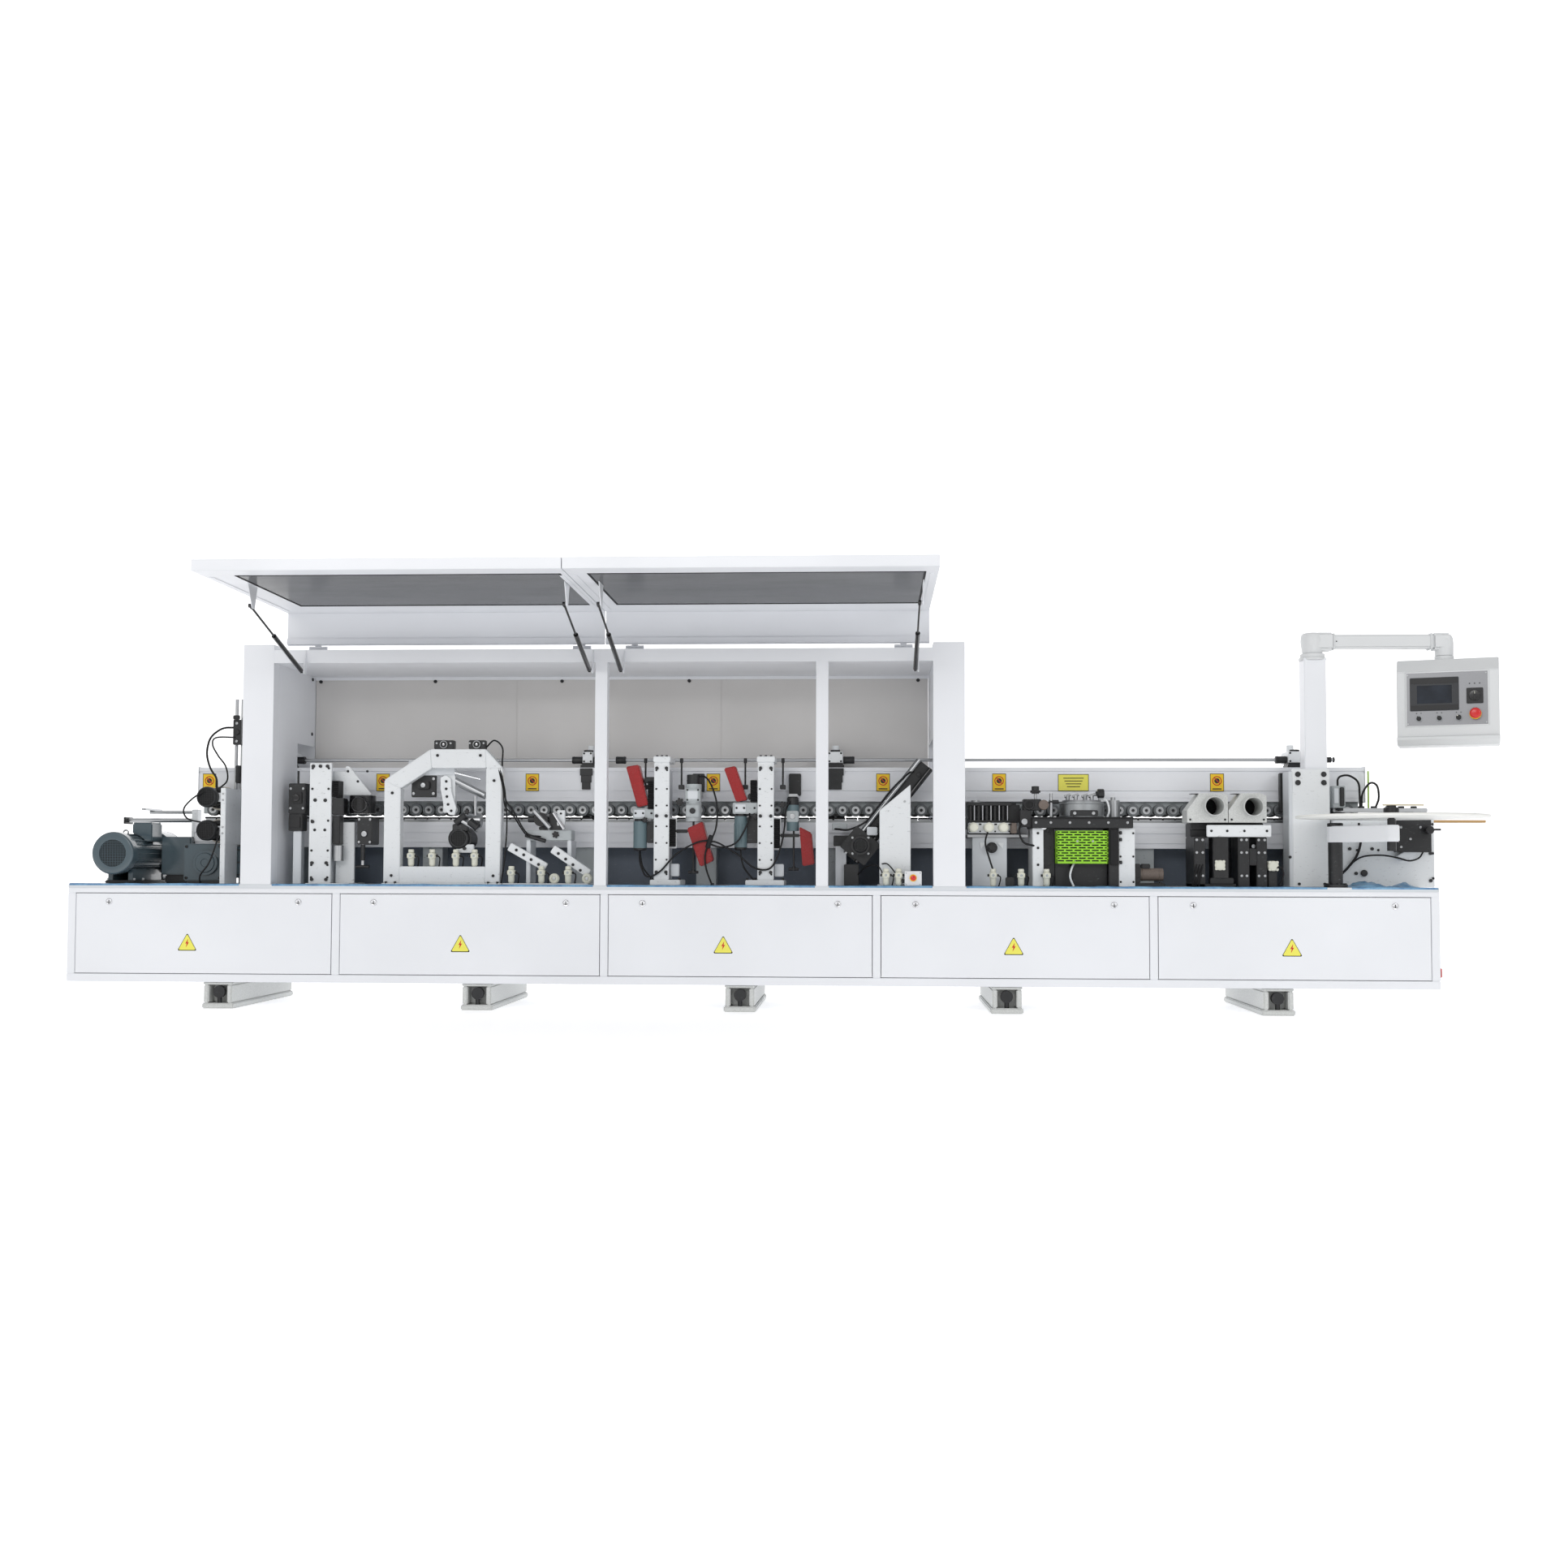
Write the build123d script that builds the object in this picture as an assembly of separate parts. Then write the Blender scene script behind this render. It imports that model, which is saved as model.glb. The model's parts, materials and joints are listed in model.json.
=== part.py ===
from build123d import *
import math
import os

# Through-feed edge banding machine.  Millimetres.  +X is the infeed end, -Y is the operator's
# side, +Z is up.  The origin is on the floor, under the middle foot.

# ---- driving dimensions -------------------------------------------------------------------
BASE_LENGTH = 6500
BASE_DEPTH = 880
BASE_BOTTOM = 128
BED_TOP = 597
BED_THICKNESS = 20
RAIL = 40
FRONT = -BASE_DEPTH / 2
BACK = BASE_DEPTH / 2
END = BASE_LENGTH / 2

DOOR_COUNT = 5
DOOR_PITCH = 1292
DOOR_WIDTH = 1248
DOOR_GAP = 3
DOOR_DEPTH = 15
DOOR_LOW, DOOR_HIGH = 169, 551
DOOR_PIVOT = (4, 4)
LOCK_SPREAD = 463
LOCK_HEIGHT = 511
LOCK_RADIUS = 13.5

FOOT_COUNT = 5
FOOT_PITCH = 1257
FOOT_WIDTH = 154
FOOT_FRONT, FOOT_BACK = -420, 418

SHEET = 3
CABINET_LEFT, CABINET_RIGHT = -2407, 1062
POST_WIDTH = 149
POST_DEPTH = 80
POST_TOP = 1752
HEADER_LOW, HEADER_HIGH = 1663, 1726
HEADER_DEPTH = 60
PANEL_LOW = 1090
SIDE_SHEET_LOW = 1300
INNER_SHEET_BACK = -90
BACK_PANEL_Y = 172
MID_POSTS = (-667, 388)
MID_POST_WIDTH = 58

HINGE_Y, HINGE_Z = -340, 1748
HOOD_FRONT = -1517
HOOD_UNDER = 1918
HOOD_SKIN = 2
HOOD_DEPTH = 48
HOOD_SPANS = {"left": (-2228, -666), "right": (-662, 899)}
HOOD_WINDOWS = {"left": (-2088, -690), "right": (-578, 847)}
WINDOW_FRONT, WINDOW_BACK = -1398, -565
HINGE_TABS = {"left": (-2075, -778), "right": (-521, 775)}
STRUT_X = {"left": (-2115, -721), "right": (-571, 828)}
STRUT_BASE = (-460, 1620)
STRUT_TIP = (-1140, 1830)
STRUT_TUBE_LENGTH = 398

CHAIN_BEAM = (781, 907)
CHAIN_TOP = 932
CHAIN_BEAM_Y = (-60, 100)
CHAIN_ENDS = (-2790, 3300)
BEAM_LOW, BEAM_HIGH = 1012, 1181
BEAM_Y = (-40, 80)
BEAM_ENDS = (-2780, 3032)
BEAM_WALL = 6
ROLLER_RADIUS = 31
ROLLER_PITCH = 65
ROLLER_Z = 969
ROLLER_SPAN = (-2706, 2949)
SHAFT_Y, SHAFT_Z = 20, 1222
SHAFT_RADIUS = 8
COUPLING_RADIUS = 18
LIFT_X = (-2350, -803, 442, 2710)
GEARBOX_HALF = 37
SCREW_Y = 106
SCREW_RADIUS = 5
SCREW_TOP = 1276
SCREW_CLEARANCE = 0.5
COLUMN_Y = (114, 168)

TOWER_FRONT = -340
LAMP_POST_Y = -72
END_RAIL = ((522, 731), (882, 1186))
PLATE = 18

MAST = (2751, -180)
MAST_HALF = 52
MAST_TOP = 1700
ARM_Z = 1779
ARM_RADIUS = 36
NECK = (3377, -175)
NECK_LOW = 1689
CONSOLE_YAW = -20
CONSOLE_WIDTH, CONSOLE_DEPTH = 452, 190
CONSOLE_LOW, CONSOLE_HIGH = 1273, 1688
CONSOLE_SHIFT = 15
STOP_AT, SELECTOR_AT = (136, 1417), (63, 1400)

REEL = (2976, -630)
REEL_RADIUS = 418
REEL_Z = (916, 927)
REEL_ARM = (808, 884)
REEL_POST = (2793, -380)

RUNNING_GAP = 0.5
written = []


# ---- shape helpers --------------------------------------------------------------------------
def block(x, y, z):
    """A box from three (low, high) pairs."""
    size = [high - low for low, high in (x, y, z)]
    centre = [(high + low) / 2 for low, high in (x, y, z)]
    return Pos(*centre) * Box(*size)


def rod(start, end, radius):
    """A round bar between two points."""
    along = Vector(*end) - Vector(*start)
    seat = Plane(origin=start, z_dir=along).location
    return seat * Pos(0, 0, along.length / 2) * Cylinder(radius, along.length)


def prism_y(points, y):
    """A flat outline of (x, z) points carried from one Y to another."""
    edge = Polyline(*[(px, y[0], pz) for px, pz in points], close=True)
    return extrude(make_face(edge), amount=y[1] - y[0], dir=(0, 1, 0))


def prism_x(points, x):
    """A flat outline of (y, z) points carried from one X to another."""
    edge = Polyline(*[(x[0], py, pz) for py, pz in points], close=True)
    return extrude(make_face(edge), amount=x[1] - x[0], dir=(1, 0, 0))


def tube_z(x, y, z, wall):
    """An upright box section made of four plates."""
    return [
        block(x, (y[0], y[0] + wall), z),
        block(x, (y[1] - wall, y[1]), z),
        block((x[0], x[0] + wall), (y[0] + wall, y[1] - wall), z),
        block((x[1] - wall, x[1]), (y[0] + wall, y[1] - wall), z),
    ]


def tube_x(x, y, z, wall):
    """A box section lying along X, made of four plates."""
    return [
        block(x, (y[0], y[0] + wall), z),
        block(x, (y[1] - wall, y[1]), z),
        block(x, (y[0] + wall, y[1] - wall), (z[0], z[0] + wall)),
        block(x, (y[0] + wall, y[1] - wall), (z[1] - wall, z[1])),
    ]


def ring_y(x, y, z, outer, inner):
    """A round collar lying along Y."""
    return rod((x, y[0], z), (x, y[1], z), outer) - rod((x, y[0], z), (x, y[1], z), inner)


def sloped_bar(start, end, width, y):
    """A straight bar in the XZ plane between two (x, z) points."""
    run, rise = end[0] - start[0], end[1] - start[1]
    length = math.hypot(run, rise)
    side_x, side_z = -rise / length * width / 2, run / length * width / 2
    corners = [
        (start[0] + side_x, start[1] + side_z),
        (end[0] + side_x, end[1] + side_z),
        (end[0] - side_x, end[1] - side_z),
        (start[0] - side_x, start[1] - side_z),
    ]
    return prism_y(corners, y)


def save(node, shapes):
    solids = [solid for shape in shapes for solid in shape.solids()]
    export_step(Compound(solids), f"parts/{node}.step")
    written.append(node)


# ---- base -----------------------------------------------------------------------------------
def door_centre(index):
    return (index - (DOOR_COUNT - 1) / 2) * DOOR_PITCH


def stile_spans():
    """The X spans of the uprights between and beside the door openings."""
    half = DOOR_WIDTH / 2 + DOOR_GAP
    edges = [-END]
    for index in range(DOOR_COUNT):
        edges += [door_centre(index) - half, door_centre(index) + half]
    edges.append(END)
    return list(zip(edges[0::2], edges[1::2]))


def base_frame():
    low_rail = (BASE_BOTTOM, DOOR_LOW - DOOR_GAP)
    high_rail = (DOOR_HIGH + DOOR_GAP, BED_TOP - BED_THICKNESS)
    between = (low_rail[1], high_rail[0])
    front = (FRONT, FRONT + RAIL)
    back = (BACK - RAIL, BACK)
    inside = (front[1], back[0])
    floor_sheet = (BASE_BOTTOM, BASE_BOTTOM + 6)
    shapes = [block((-END, END), side, rail) for side in (front, back) for rail in (low_rail, high_rail)]
    shapes.append(block((-END, END), inside, floor_sheet))
    for low, high in stile_spans():
        shapes += [block((low, high), side, between) for side in (front, back)]
    for low, high in stile_spans()[1:-1]:
        middle = (low + high) / 2
        shapes.append(block((middle - 6, middle + 6), inside, (floor_sheet[1], high_rail[1])))
    for low, high in ((-END, -END + 12), (END - 12, END)):
        shapes.append(block((low, high), inside, (floor_sheet[1], high_rail[1])))
    half = DOOR_WIDTH / 2 + DOOR_GAP
    for index in range(DOOR_COUNT):
        span = (door_centre(index) - half, door_centre(index) + half)
        shapes.append(block(span, (BACK - 4, BACK), between))
    return shapes


def bed_plate():
    return [block((-END, END), (FRONT, BACK), (BED_TOP - BED_THICKNESS, BED_TOP))]


def front_door(index):
    """A shallow pan on two bottom pivot pins, with two quarter-turn locks near its top edge."""
    middle = door_centre(index)
    x = (middle - DOOR_WIDTH / 2, middle + DOOR_WIDTH / 2)
    skin = (FRONT, FRONT + 2)
    fold = (FRONT + 2, FRONT + DOOR_DEPTH)
    z = (DOOR_LOW, DOOR_HIGH)
    shapes = [
        block(x, skin, z),
        block(x, fold, (z[0], z[0] + 2)),
        block(x, fold, (z[1] - 2, z[1])),
        block((x[0], x[0] + 2), fold, (z[0] + 2, z[1] - 2)),
        block((x[1] - 2, x[1]), fold, (z[0] + 2, z[1] - 2)),
    ]
    pivot = (FRONT + DOOR_PIVOT[0], DOOR_LOW + DOOR_PIVOT[1])
    for edge, outward in ((x[0], -1), (x[1], 1)):
        tip = edge + outward * (DOOR_GAP - RUNNING_GAP)
        shapes.append(rod((edge, *pivot), (tip, *pivot), 2.5))
    for side in (-1, 1):
        lock_x = middle + side * LOCK_SPREAD
        shapes.append(rod((lock_x, FRONT - 3, LOCK_HEIGHT), (lock_x, FRONT, LOCK_HEIGHT), LOCK_RADIUS))
        shapes.append(rod((lock_x, FRONT + 2, LOCK_HEIGHT), (lock_x, FRONT + 28, LOCK_HEIGHT), 10))
        cam_z = (LOCK_HEIGHT - 8, LOCK_HEIGHT + 34)
        shapes.append(block((lock_x - 8, lock_x + 8), (FRONT + 28, FRONT + 31), cam_z))
    return shapes


def foot_centres():
    return [(index - (FOOT_COUNT - 1) / 2) * FOOT_PITCH for index in range(FOOT_COUNT)]


def cast_feet():
    """Cast beam feet with an open pocket at each end for the levelling bolt."""
    cheek, pad, top, pocket = 24, 26, 14, 70
    shapes = []
    for middle in foot_centres():
        x = (middle - FOOT_WIDTH / 2, middle + FOOT_WIDTH / 2)
        y = (FOOT_FRONT, FOOT_BACK)
        web = (pad, BASE_BOTTOM - top)
        shapes.append(block(x, y, (0, pad)))
        shapes.append(block((x[0] + 5, x[1] - 5), y, (BASE_BOTTOM - top, BASE_BOTTOM)))
        shapes.append(block((x[0] + 8, x[0] + 8 + cheek), y, web))
        shapes.append(block((x[1] - 8 - cheek, x[1] - 8), y, web))
        core = (x[0] + 8 + cheek, x[1] - 8 - cheek)
        shapes.append(block(core, (y[0] + pocket, y[1] - pocket), web))
    return shapes


def levelling_bolts():
    """A round-headed adjuster stands in each foot pocket."""
    head, neck, depth = 29, 11, 24
    shapes = []
    for middle in foot_centres():
        for y_end, inward in ((FOOT_FRONT, 1), (FOOT_BACK, -1)):
            face = y_end + 14 * inward
            centre_z = 26 + head + 24
            axis_y = face + 12 * inward
            disc = rod((middle, face, centre_z), (middle, face + depth * inward, centre_z), head)
            stem = rod((middle, axis_y, 26), (middle, axis_y, centre_z), neck)
            shapes += [disc, stem - disc]
    return shapes


def control_cabinet():
    """The electrical cabinet stands at the back of one bay of the base."""
    middle = door_centre(3)
    x, y, z = (middle - 420, middle + 420), (150, 380), (BASE_BOTTOM + 6, 540)
    shapes = tube_x(x, y, z, 2)
    shapes.append(block((x[0] - 2, x[0]), y, z))
    shapes.append(block((x[1], x[1] + 2), y, z))
    inside_y = (y[0] + 120, y[1] - 2)
    for step in range(4):
        low = x[0] + 60 + step * 190
        shapes.append(block((low, low + 150), inside_y, (z[0] + 60, z[0] + 300)))
    return shapes


# ---- cabinet over the working units -----------------------------------------------------------
def side_posts():
    rear = (BACK_PANEL_Y + SHEET, BACK_PANEL_Y + SHEET + POST_DEPTH)
    front = (FRONT, FRONT + POST_DEPTH)
    shapes = []
    for x in ((CABINET_LEFT, CABINET_LEFT + POST_WIDTH), (CABINET_RIGHT - POST_WIDTH, CABINET_RIGHT)):
        for y in (front, rear):
            shapes += tube_z(x, y, (BED_TOP, POST_TOP - SHEET), SHEET)
        shapes.append(block(x, (front[0], rear[1]), (POST_TOP - SHEET, POST_TOP)))
        side = (SIDE_SHEET_LOW, POST_TOP - SHEET)
        for low in (x[0], x[1] - SHEET):
            shapes.append(block((low, low + SHEET), (front[1], rear[0]), side))
    inner = CABINET_LEFT + POST_WIDTH
    skirt = (front[1], INNER_SHEET_BACK)
    shapes.append(block((inner - SHEET, inner), skirt, (BED_TOP, SIDE_SHEET_LOW)))
    return shapes


def hood_frame():
    x = (CABINET_LEFT + POST_WIDTH, CABINET_RIGHT - POST_WIDTH)
    header = (FRONT, FRONT + HEADER_DEPTH)
    shapes = tube_x(x, header, (HEADER_LOW, HEADER_HIGH), SHEET)
    for middle in MID_POSTS:
        half = MID_POST_WIDTH / 2
        shapes += tube_z((middle - half, middle + half), header, (BED_TOP, HEADER_LOW), SHEET)
    deck = (header[1], BACK_PANEL_Y)
    shapes.append(block(x, deck, (HEADER_LOW, HEADER_LOW + SHEET)))
    rear_top = (header[1], BACK_PANEL_Y + SHEET + POST_DEPTH)
    shapes.append(block(x, rear_top, (HEADER_HIGH - SHEET, HEADER_HIGH)))
    for side in ("left", "right"):
        for middle in HINGE_TABS[side]:
            seat = (HEADER_HIGH, HINGE_Z - 7)
            shapes.append(block((middle - 44, middle + 44), (HINGE_Y - 14, HINGE_Y + 14), seat))
            for low in (middle - 44, middle + 16):
                shapes.append(rod((low, HINGE_Y, HINGE_Z), (low + 28, HINGE_Y, HINGE_Z), 7))
        for middle in STRUT_X[side]:
            shapes += strut_anchor(middle)
    return shapes


def strut_anchor(middle):
    """The bracket that holds a gas strut's lower eye in front of the header."""
    y, z = STRUT_BASE
    outline = [(FRONT, HEADER_HIGH - 4), (y - 16, z + 12), (y - 16, z - 14), (y + 14, z - 14), (FRONT, HEADER_LOW)]
    plate = prism_x(outline, (middle + 12, middle + 17))
    pin = rod((middle + 12, y, z), (middle + 6 + RUNNING_GAP, y, z), 5)
    return [plate, pin]


def back_panels():
    """Three flanged sheets close the rear of the cabinet."""
    x = (CABINET_LEFT + POST_WIDTH, CABINET_RIGHT - POST_WIDTH)
    z = (PANEL_LOW, HEADER_LOW)
    count, gap = 3, 6
    width = (x[1] - x[0]) / count
    shapes = []
    for index in range(count):
        low = x[0] + index * width + gap / 2
        high = low + width - gap
        shapes.append(block((low, high), (BACK_PANEL_Y, BACK_PANEL_Y + SHEET), z))
        fold = (BACK_PANEL_Y + SHEET, BACK_PANEL_Y + SHEET + 22)
        shapes.append(block((low, high), fold, (z[0], z[0] + SHEET)))
        shapes.append(block((low, low + SHEET), fold, (z[0] + SHEET, z[1])))
        shapes.append(block((high - SHEET, high), fold, (z[0] + SHEET, z[1])))
    return shapes


# ---- hoods and gas struts ---------------------------------------------------------------------
def hood_rings(side):
    """The outer and window outlines of a hood as four strips each."""
    x, hole = HOOD_SPANS[side], HOOD_WINDOWS[side]
    y = (HOOD_FRONT, HINGE_Y)
    return [
        (x, (y[0], WINDOW_FRONT)),
        (x, (WINDOW_BACK, y[1])),
        ((x[0], hole[0]), (WINDOW_FRONT, WINDOW_BACK)),
        ((hole[1], x[1]), (WINDOW_FRONT, WINDOW_BACK)),
    ]


def hood(side):
    """A pan-shaped leaf with a window, and a short upright leaf down to the hinges."""
    x = HOOD_SPANS[side]
    top = HOOD_UNDER + HOOD_DEPTH
    under = (HOOD_UNDER, HOOD_UNDER + HOOD_SKIN)
    skin = (top - HOOD_SKIN, top)
    walls = (under[1], skin[0])
    shapes = []
    for strip_x, strip_y in hood_rings(side):
        shapes.append(block(strip_x, strip_y, under))
        shapes.append(block(strip_x, strip_y, skin))
    shapes.append(block(x, (HOOD_FRONT, HOOD_FRONT + HOOD_SKIN), walls))
    shapes.append(block(x, (HINGE_Y - HOOD_SKIN, HINGE_Y), walls))
    run = (HOOD_FRONT + HOOD_SKIN, HINGE_Y - HOOD_SKIN)
    for low in (x[0], x[1] - HOOD_SKIN):
        shapes.append(block((low, low + HOOD_SKIN), run, walls))
    hole = HOOD_WINDOWS[side]
    rim_y = (WINDOW_FRONT - HOOD_SKIN, WINDOW_BACK + HOOD_SKIN)
    shapes.append(block(hole, (rim_y[0], WINDOW_FRONT), walls))
    shapes.append(block(hole, (WINDOW_BACK, rim_y[1]), walls))
    for low in (hole[0] - HOOD_SKIN, hole[1]):
        shapes.append(block((low, low + HOOD_SKIN), rim_y, walls))
    leaf_low = HINGE_Z + 11
    shapes.append(block(x, (HINGE_Y - HOOD_SKIN, HINGE_Y), (leaf_low, HOOD_UNDER)))
    shapes.append(block(x, (HINGE_Y - 14, HINGE_Y - HOOD_SKIN), (leaf_low + 5, leaf_low + 33)))
    for middle in HINGE_TABS[side]:
        knuckle = (middle - 16 + RUNNING_GAP, middle + 16 - RUNNING_GAP)
        shapes.append(rod((knuckle[0], HINGE_Y, HINGE_Z), (knuckle[1], HINGE_Y, HINGE_Z), 7))
        tab = (HINGE_Z + 7, leaf_low)
        shapes.append(block(knuckle, (HINGE_Y - 4, HINGE_Y + 2), tab))
    for middle in STRUT_X[side]:
        shapes += strut_bracket(middle)
    return shapes


def strut_bracket(middle):
    """A tapered plate under the hood with the ball stud of the gas strut."""
    y, z = STRUT_TIP
    outline = [(y - 70, HOOD_UNDER), (y - 14, z - 14), (y + 14, z - 14), (y + 44, HOOD_UNDER)]
    plate = prism_x(outline, (middle + 12, middle + 16))
    stud = rod((middle + 12, y, z), (middle + 7, y, z), 6)
    return [plate, stud]


def hood_window(side):
    return [block(HOOD_WINDOWS[side], (WINDOW_FRONT, WINDOW_BACK), (HOOD_UNDER, HOOD_UNDER + 4))]


def strut_point(middle, distance):
    """A point on a gas strut's axis, measured from its lower eye."""
    run, rise = STRUT_TIP[0] - STRUT_BASE[0], STRUT_TIP[1] - STRUT_BASE[1]
    length = math.hypot(run, rise)
    return (middle, STRUT_BASE[0] + run * distance / length, STRUT_BASE[1] + rise * distance / length)


def strut_cylinders(side):
    shapes = []
    for middle in STRUT_X[side]:
        y, z = STRUT_BASE
        eye = rod((middle - 6, y, z), (middle + 6, y, z), 9)
        barrel = rod(strut_point(middle, 10), strut_point(middle, STRUT_TUBE_LENGTH), 11)
        bore = rod(strut_point(middle, 60), strut_point(middle, STRUT_TUBE_LENGTH + 5), 5.5)
        shapes += [eye, barrel - bore - eye]
    return shapes


def strut_rods(side):
    length = math.dist(STRUT_BASE, STRUT_TIP)
    shapes = []
    for middle in STRUT_X[side]:
        start = strut_point(middle, STRUT_TUBE_LENGTH - 150)
        shapes.append(rod(start, strut_point(middle, length - 20), 5))
        shapes.append(rod(strut_point(middle, length - 20), strut_point(middle, length - 9), 8))
        y, z = STRUT_TIP
        eye = rod((middle - 6, y, z), (middle + 6, y, z), 9)
        neck = rod(strut_point(middle, length - 9), strut_point(middle, length), 7) - eye
        shapes += [neck, eye]
    return shapes


# ---- feed beams -------------------------------------------------------------------------------
def conveyor_beam():
    low, high = CHAIN_BEAM
    shapes = tube_x(CHAIN_ENDS, CHAIN_BEAM_Y, (low, high), 8)
    leg_x = [LIFT_X[0] + 60] + [-1580, -803, -200, 442, 1180, 1960, 2710]
    for middle in leg_x:
        x = (middle - 50, middle + 50)
        shapes.append(block(x, (CHAIN_BEAM_Y[0] + 30, CHAIN_BEAM_Y[1] - 20), (BED_TOP, low)))
    web = (CHAIN_BEAM_Y[1] - 20, CHAIN_BEAM_Y[1] - 10)
    shapes.append(block((leg_x[0] - 50, CHAIN_ENDS[1] - 60), web, (BED_TOP, low)))
    guide = (high, CHAIN_TOP - 13)
    shapes.append(block((CHAIN_ENDS[0] + 40, CHAIN_ENDS[1] - 40), (-20, 60), guide))
    return shapes


def conveyor_chain():
    """The upper run of rubber-faced chain pads, standing on the guide rail."""
    pitch, length = 60, 57
    start, end = CHAIN_ENDS[0] + 45, CHAIN_ENDS[1] - 45
    count = int((end - start) / pitch)
    pads = []
    for index in range(count):
        low = start + index * pitch
        pads.append(block((low, low + length), (-44, 84), (CHAIN_TOP - 13, CHAIN_TOP)))
    return pads


def chain_sprocket():
    """The toothed wheel that pulls the chain at the outfeed end."""
    centre_x, centre_z, root, teeth = -2690, 690, 62, 12
    y = (-28, 28)
    wheel = rod((centre_x, y[0], centre_z), (centre_x, y[1], centre_z), root)
    shapes = [wheel]
    shaft = rod((centre_x, -78, centre_z), (centre_x, y[0], centre_z), 19)
    shapes.append(shaft)
    for index in range(teeth):
        turn = index * 360 / teeth
        tooth = block((root - 0.8, root + 12), y, (-7, 7))
        hub = rod((0, y[0] - 1, 0), (0, y[1] + 1, 0), root)
        shapes.append(Pos(centre_x, 0, centre_z) * Rot(0, turn, 0) * (tooth - hub))
    return shapes


def pressure_beam():
    shapes = tube_x(BEAM_ENDS, BEAM_Y, (BEAM_LOW, BEAM_HIGH), BEAM_WALL)
    for low in (BEAM_ENDS[0], BEAM_ENDS[1] - BEAM_WALL):
        inner_y = (BEAM_Y[0] + BEAM_WALL, BEAM_Y[1] - BEAM_WALL)
        inner_z = (BEAM_LOW + BEAM_WALL, BEAM_HIGH - BEAM_WALL)
        shapes.append(block((low, low + BEAM_WALL), inner_y, inner_z))
    shapes.append(block((ROLLER_SPAN[0] - 60, ROLLER_SPAN[1] + 60), (-6, 6), (950, BEAM_LOW)))
    return shapes


def pressure_rollers():
    """Two rows of rubber-tyred rollers on either side of the carrier rail."""
    shapes = []
    count = int((ROLLER_SPAN[1] - ROLLER_SPAN[0]) / ROLLER_PITCH) + 1
    for index in range(count):
        x = ROLLER_SPAN[0] + index * ROLLER_PITCH
        shapes.append(rod((x, -42, ROLLER_Z), (x, -6, ROLLER_Z), ROLLER_RADIUS))
        if index < count - 1:
            rear = x + ROLLER_PITCH / 2
            shapes.append(rod((rear, 6, ROLLER_Z), (rear, 42, ROLLER_Z), ROLLER_RADIUS))
    return shapes


def lift_columns():
    """Guide columns behind the beams, each with its fixed lift screw in front."""
    shapes = []
    for middle in LIFT_X:
        shapes.append(block((middle - 45, middle + 45), COLUMN_Y, (BED_TOP, 1190)))
        shapes.append(rod((middle, SCREW_Y, BED_TOP), (middle, SCREW_Y, SCREW_TOP), SCREW_RADIUS))
    return shapes


def lift_gearboxes():
    """Bevel gearboxes that ride on the pressure beam over the lift screws."""
    shapes = []
    for middle in LIFT_X:
        half = GEARBOX_HALF if middle != LIFT_X[1] else 25
        x = (middle - half, middle + half)
        body = block(x, (-14, 134), (1206, 1262))
        cap = rod((middle, SCREW_Y, 1262), (middle, SCREW_Y, 1300), 17)
        hole = rod((middle, SCREW_Y, 1200), (middle, SCREW_Y, 1290), SCREW_RADIUS + SCREW_CLEARANCE)
        shapes.append(body - hole)
        shapes.append(cap - hole)
        shapes.append(block((middle - half - 8, middle + half + 8), (-30, 70), (BEAM_HIGH, 1196)))
        shapes.append(block((middle - half - 2, middle + half + 2), (-22, 76), (1196, 1206)))
        shapes.append(rod((middle, 20, 1262), (middle, 20, 1272), 24))
    return shapes


def lift_shaft():
    """The line shaft and its couplings, in runs between the gearboxes."""
    halves = [GEARBOX_HALF, 25, GEARBOX_HALF, GEARBOX_HALF]
    shapes = []
    couplings = []
    for index in range(len(LIFT_X) - 1):
        start = LIFT_X[index] + halves[index] + 2 + RUNNING_GAP
        end = LIFT_X[index + 1] - halves[index + 1] - 2 - RUNNING_GAP
        couplings += [(start, start + 56), (end - 54, end)]
        bare = (start + 56, end - 54)
        if index == 1:
            collar = (LIFT_X[1] + 140, LIFT_X[1] + 190)
            couplings.append(collar)
            shapes.append(shaft_run(bare[0], collar[0], SHAFT_RADIUS))
            bare = (collar[1], bare[1])
        shapes.append(shaft_run(bare[0], bare[1], SHAFT_RADIUS))
    stub = LIFT_X[-1] + GEARBOX_HALF + RUNNING_GAP
    shapes.append(shaft_run(stub, stub + 155, SHAFT_RADIUS))
    shapes += [shaft_run(low, high, COUPLING_RADIUS) for low, high in couplings]
    return shapes


def shaft_run(low, high, radius):
    return rod((low, SHAFT_Y, SHAFT_Z), (high, SHAFT_Y, SHAFT_Z), radius)


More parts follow.
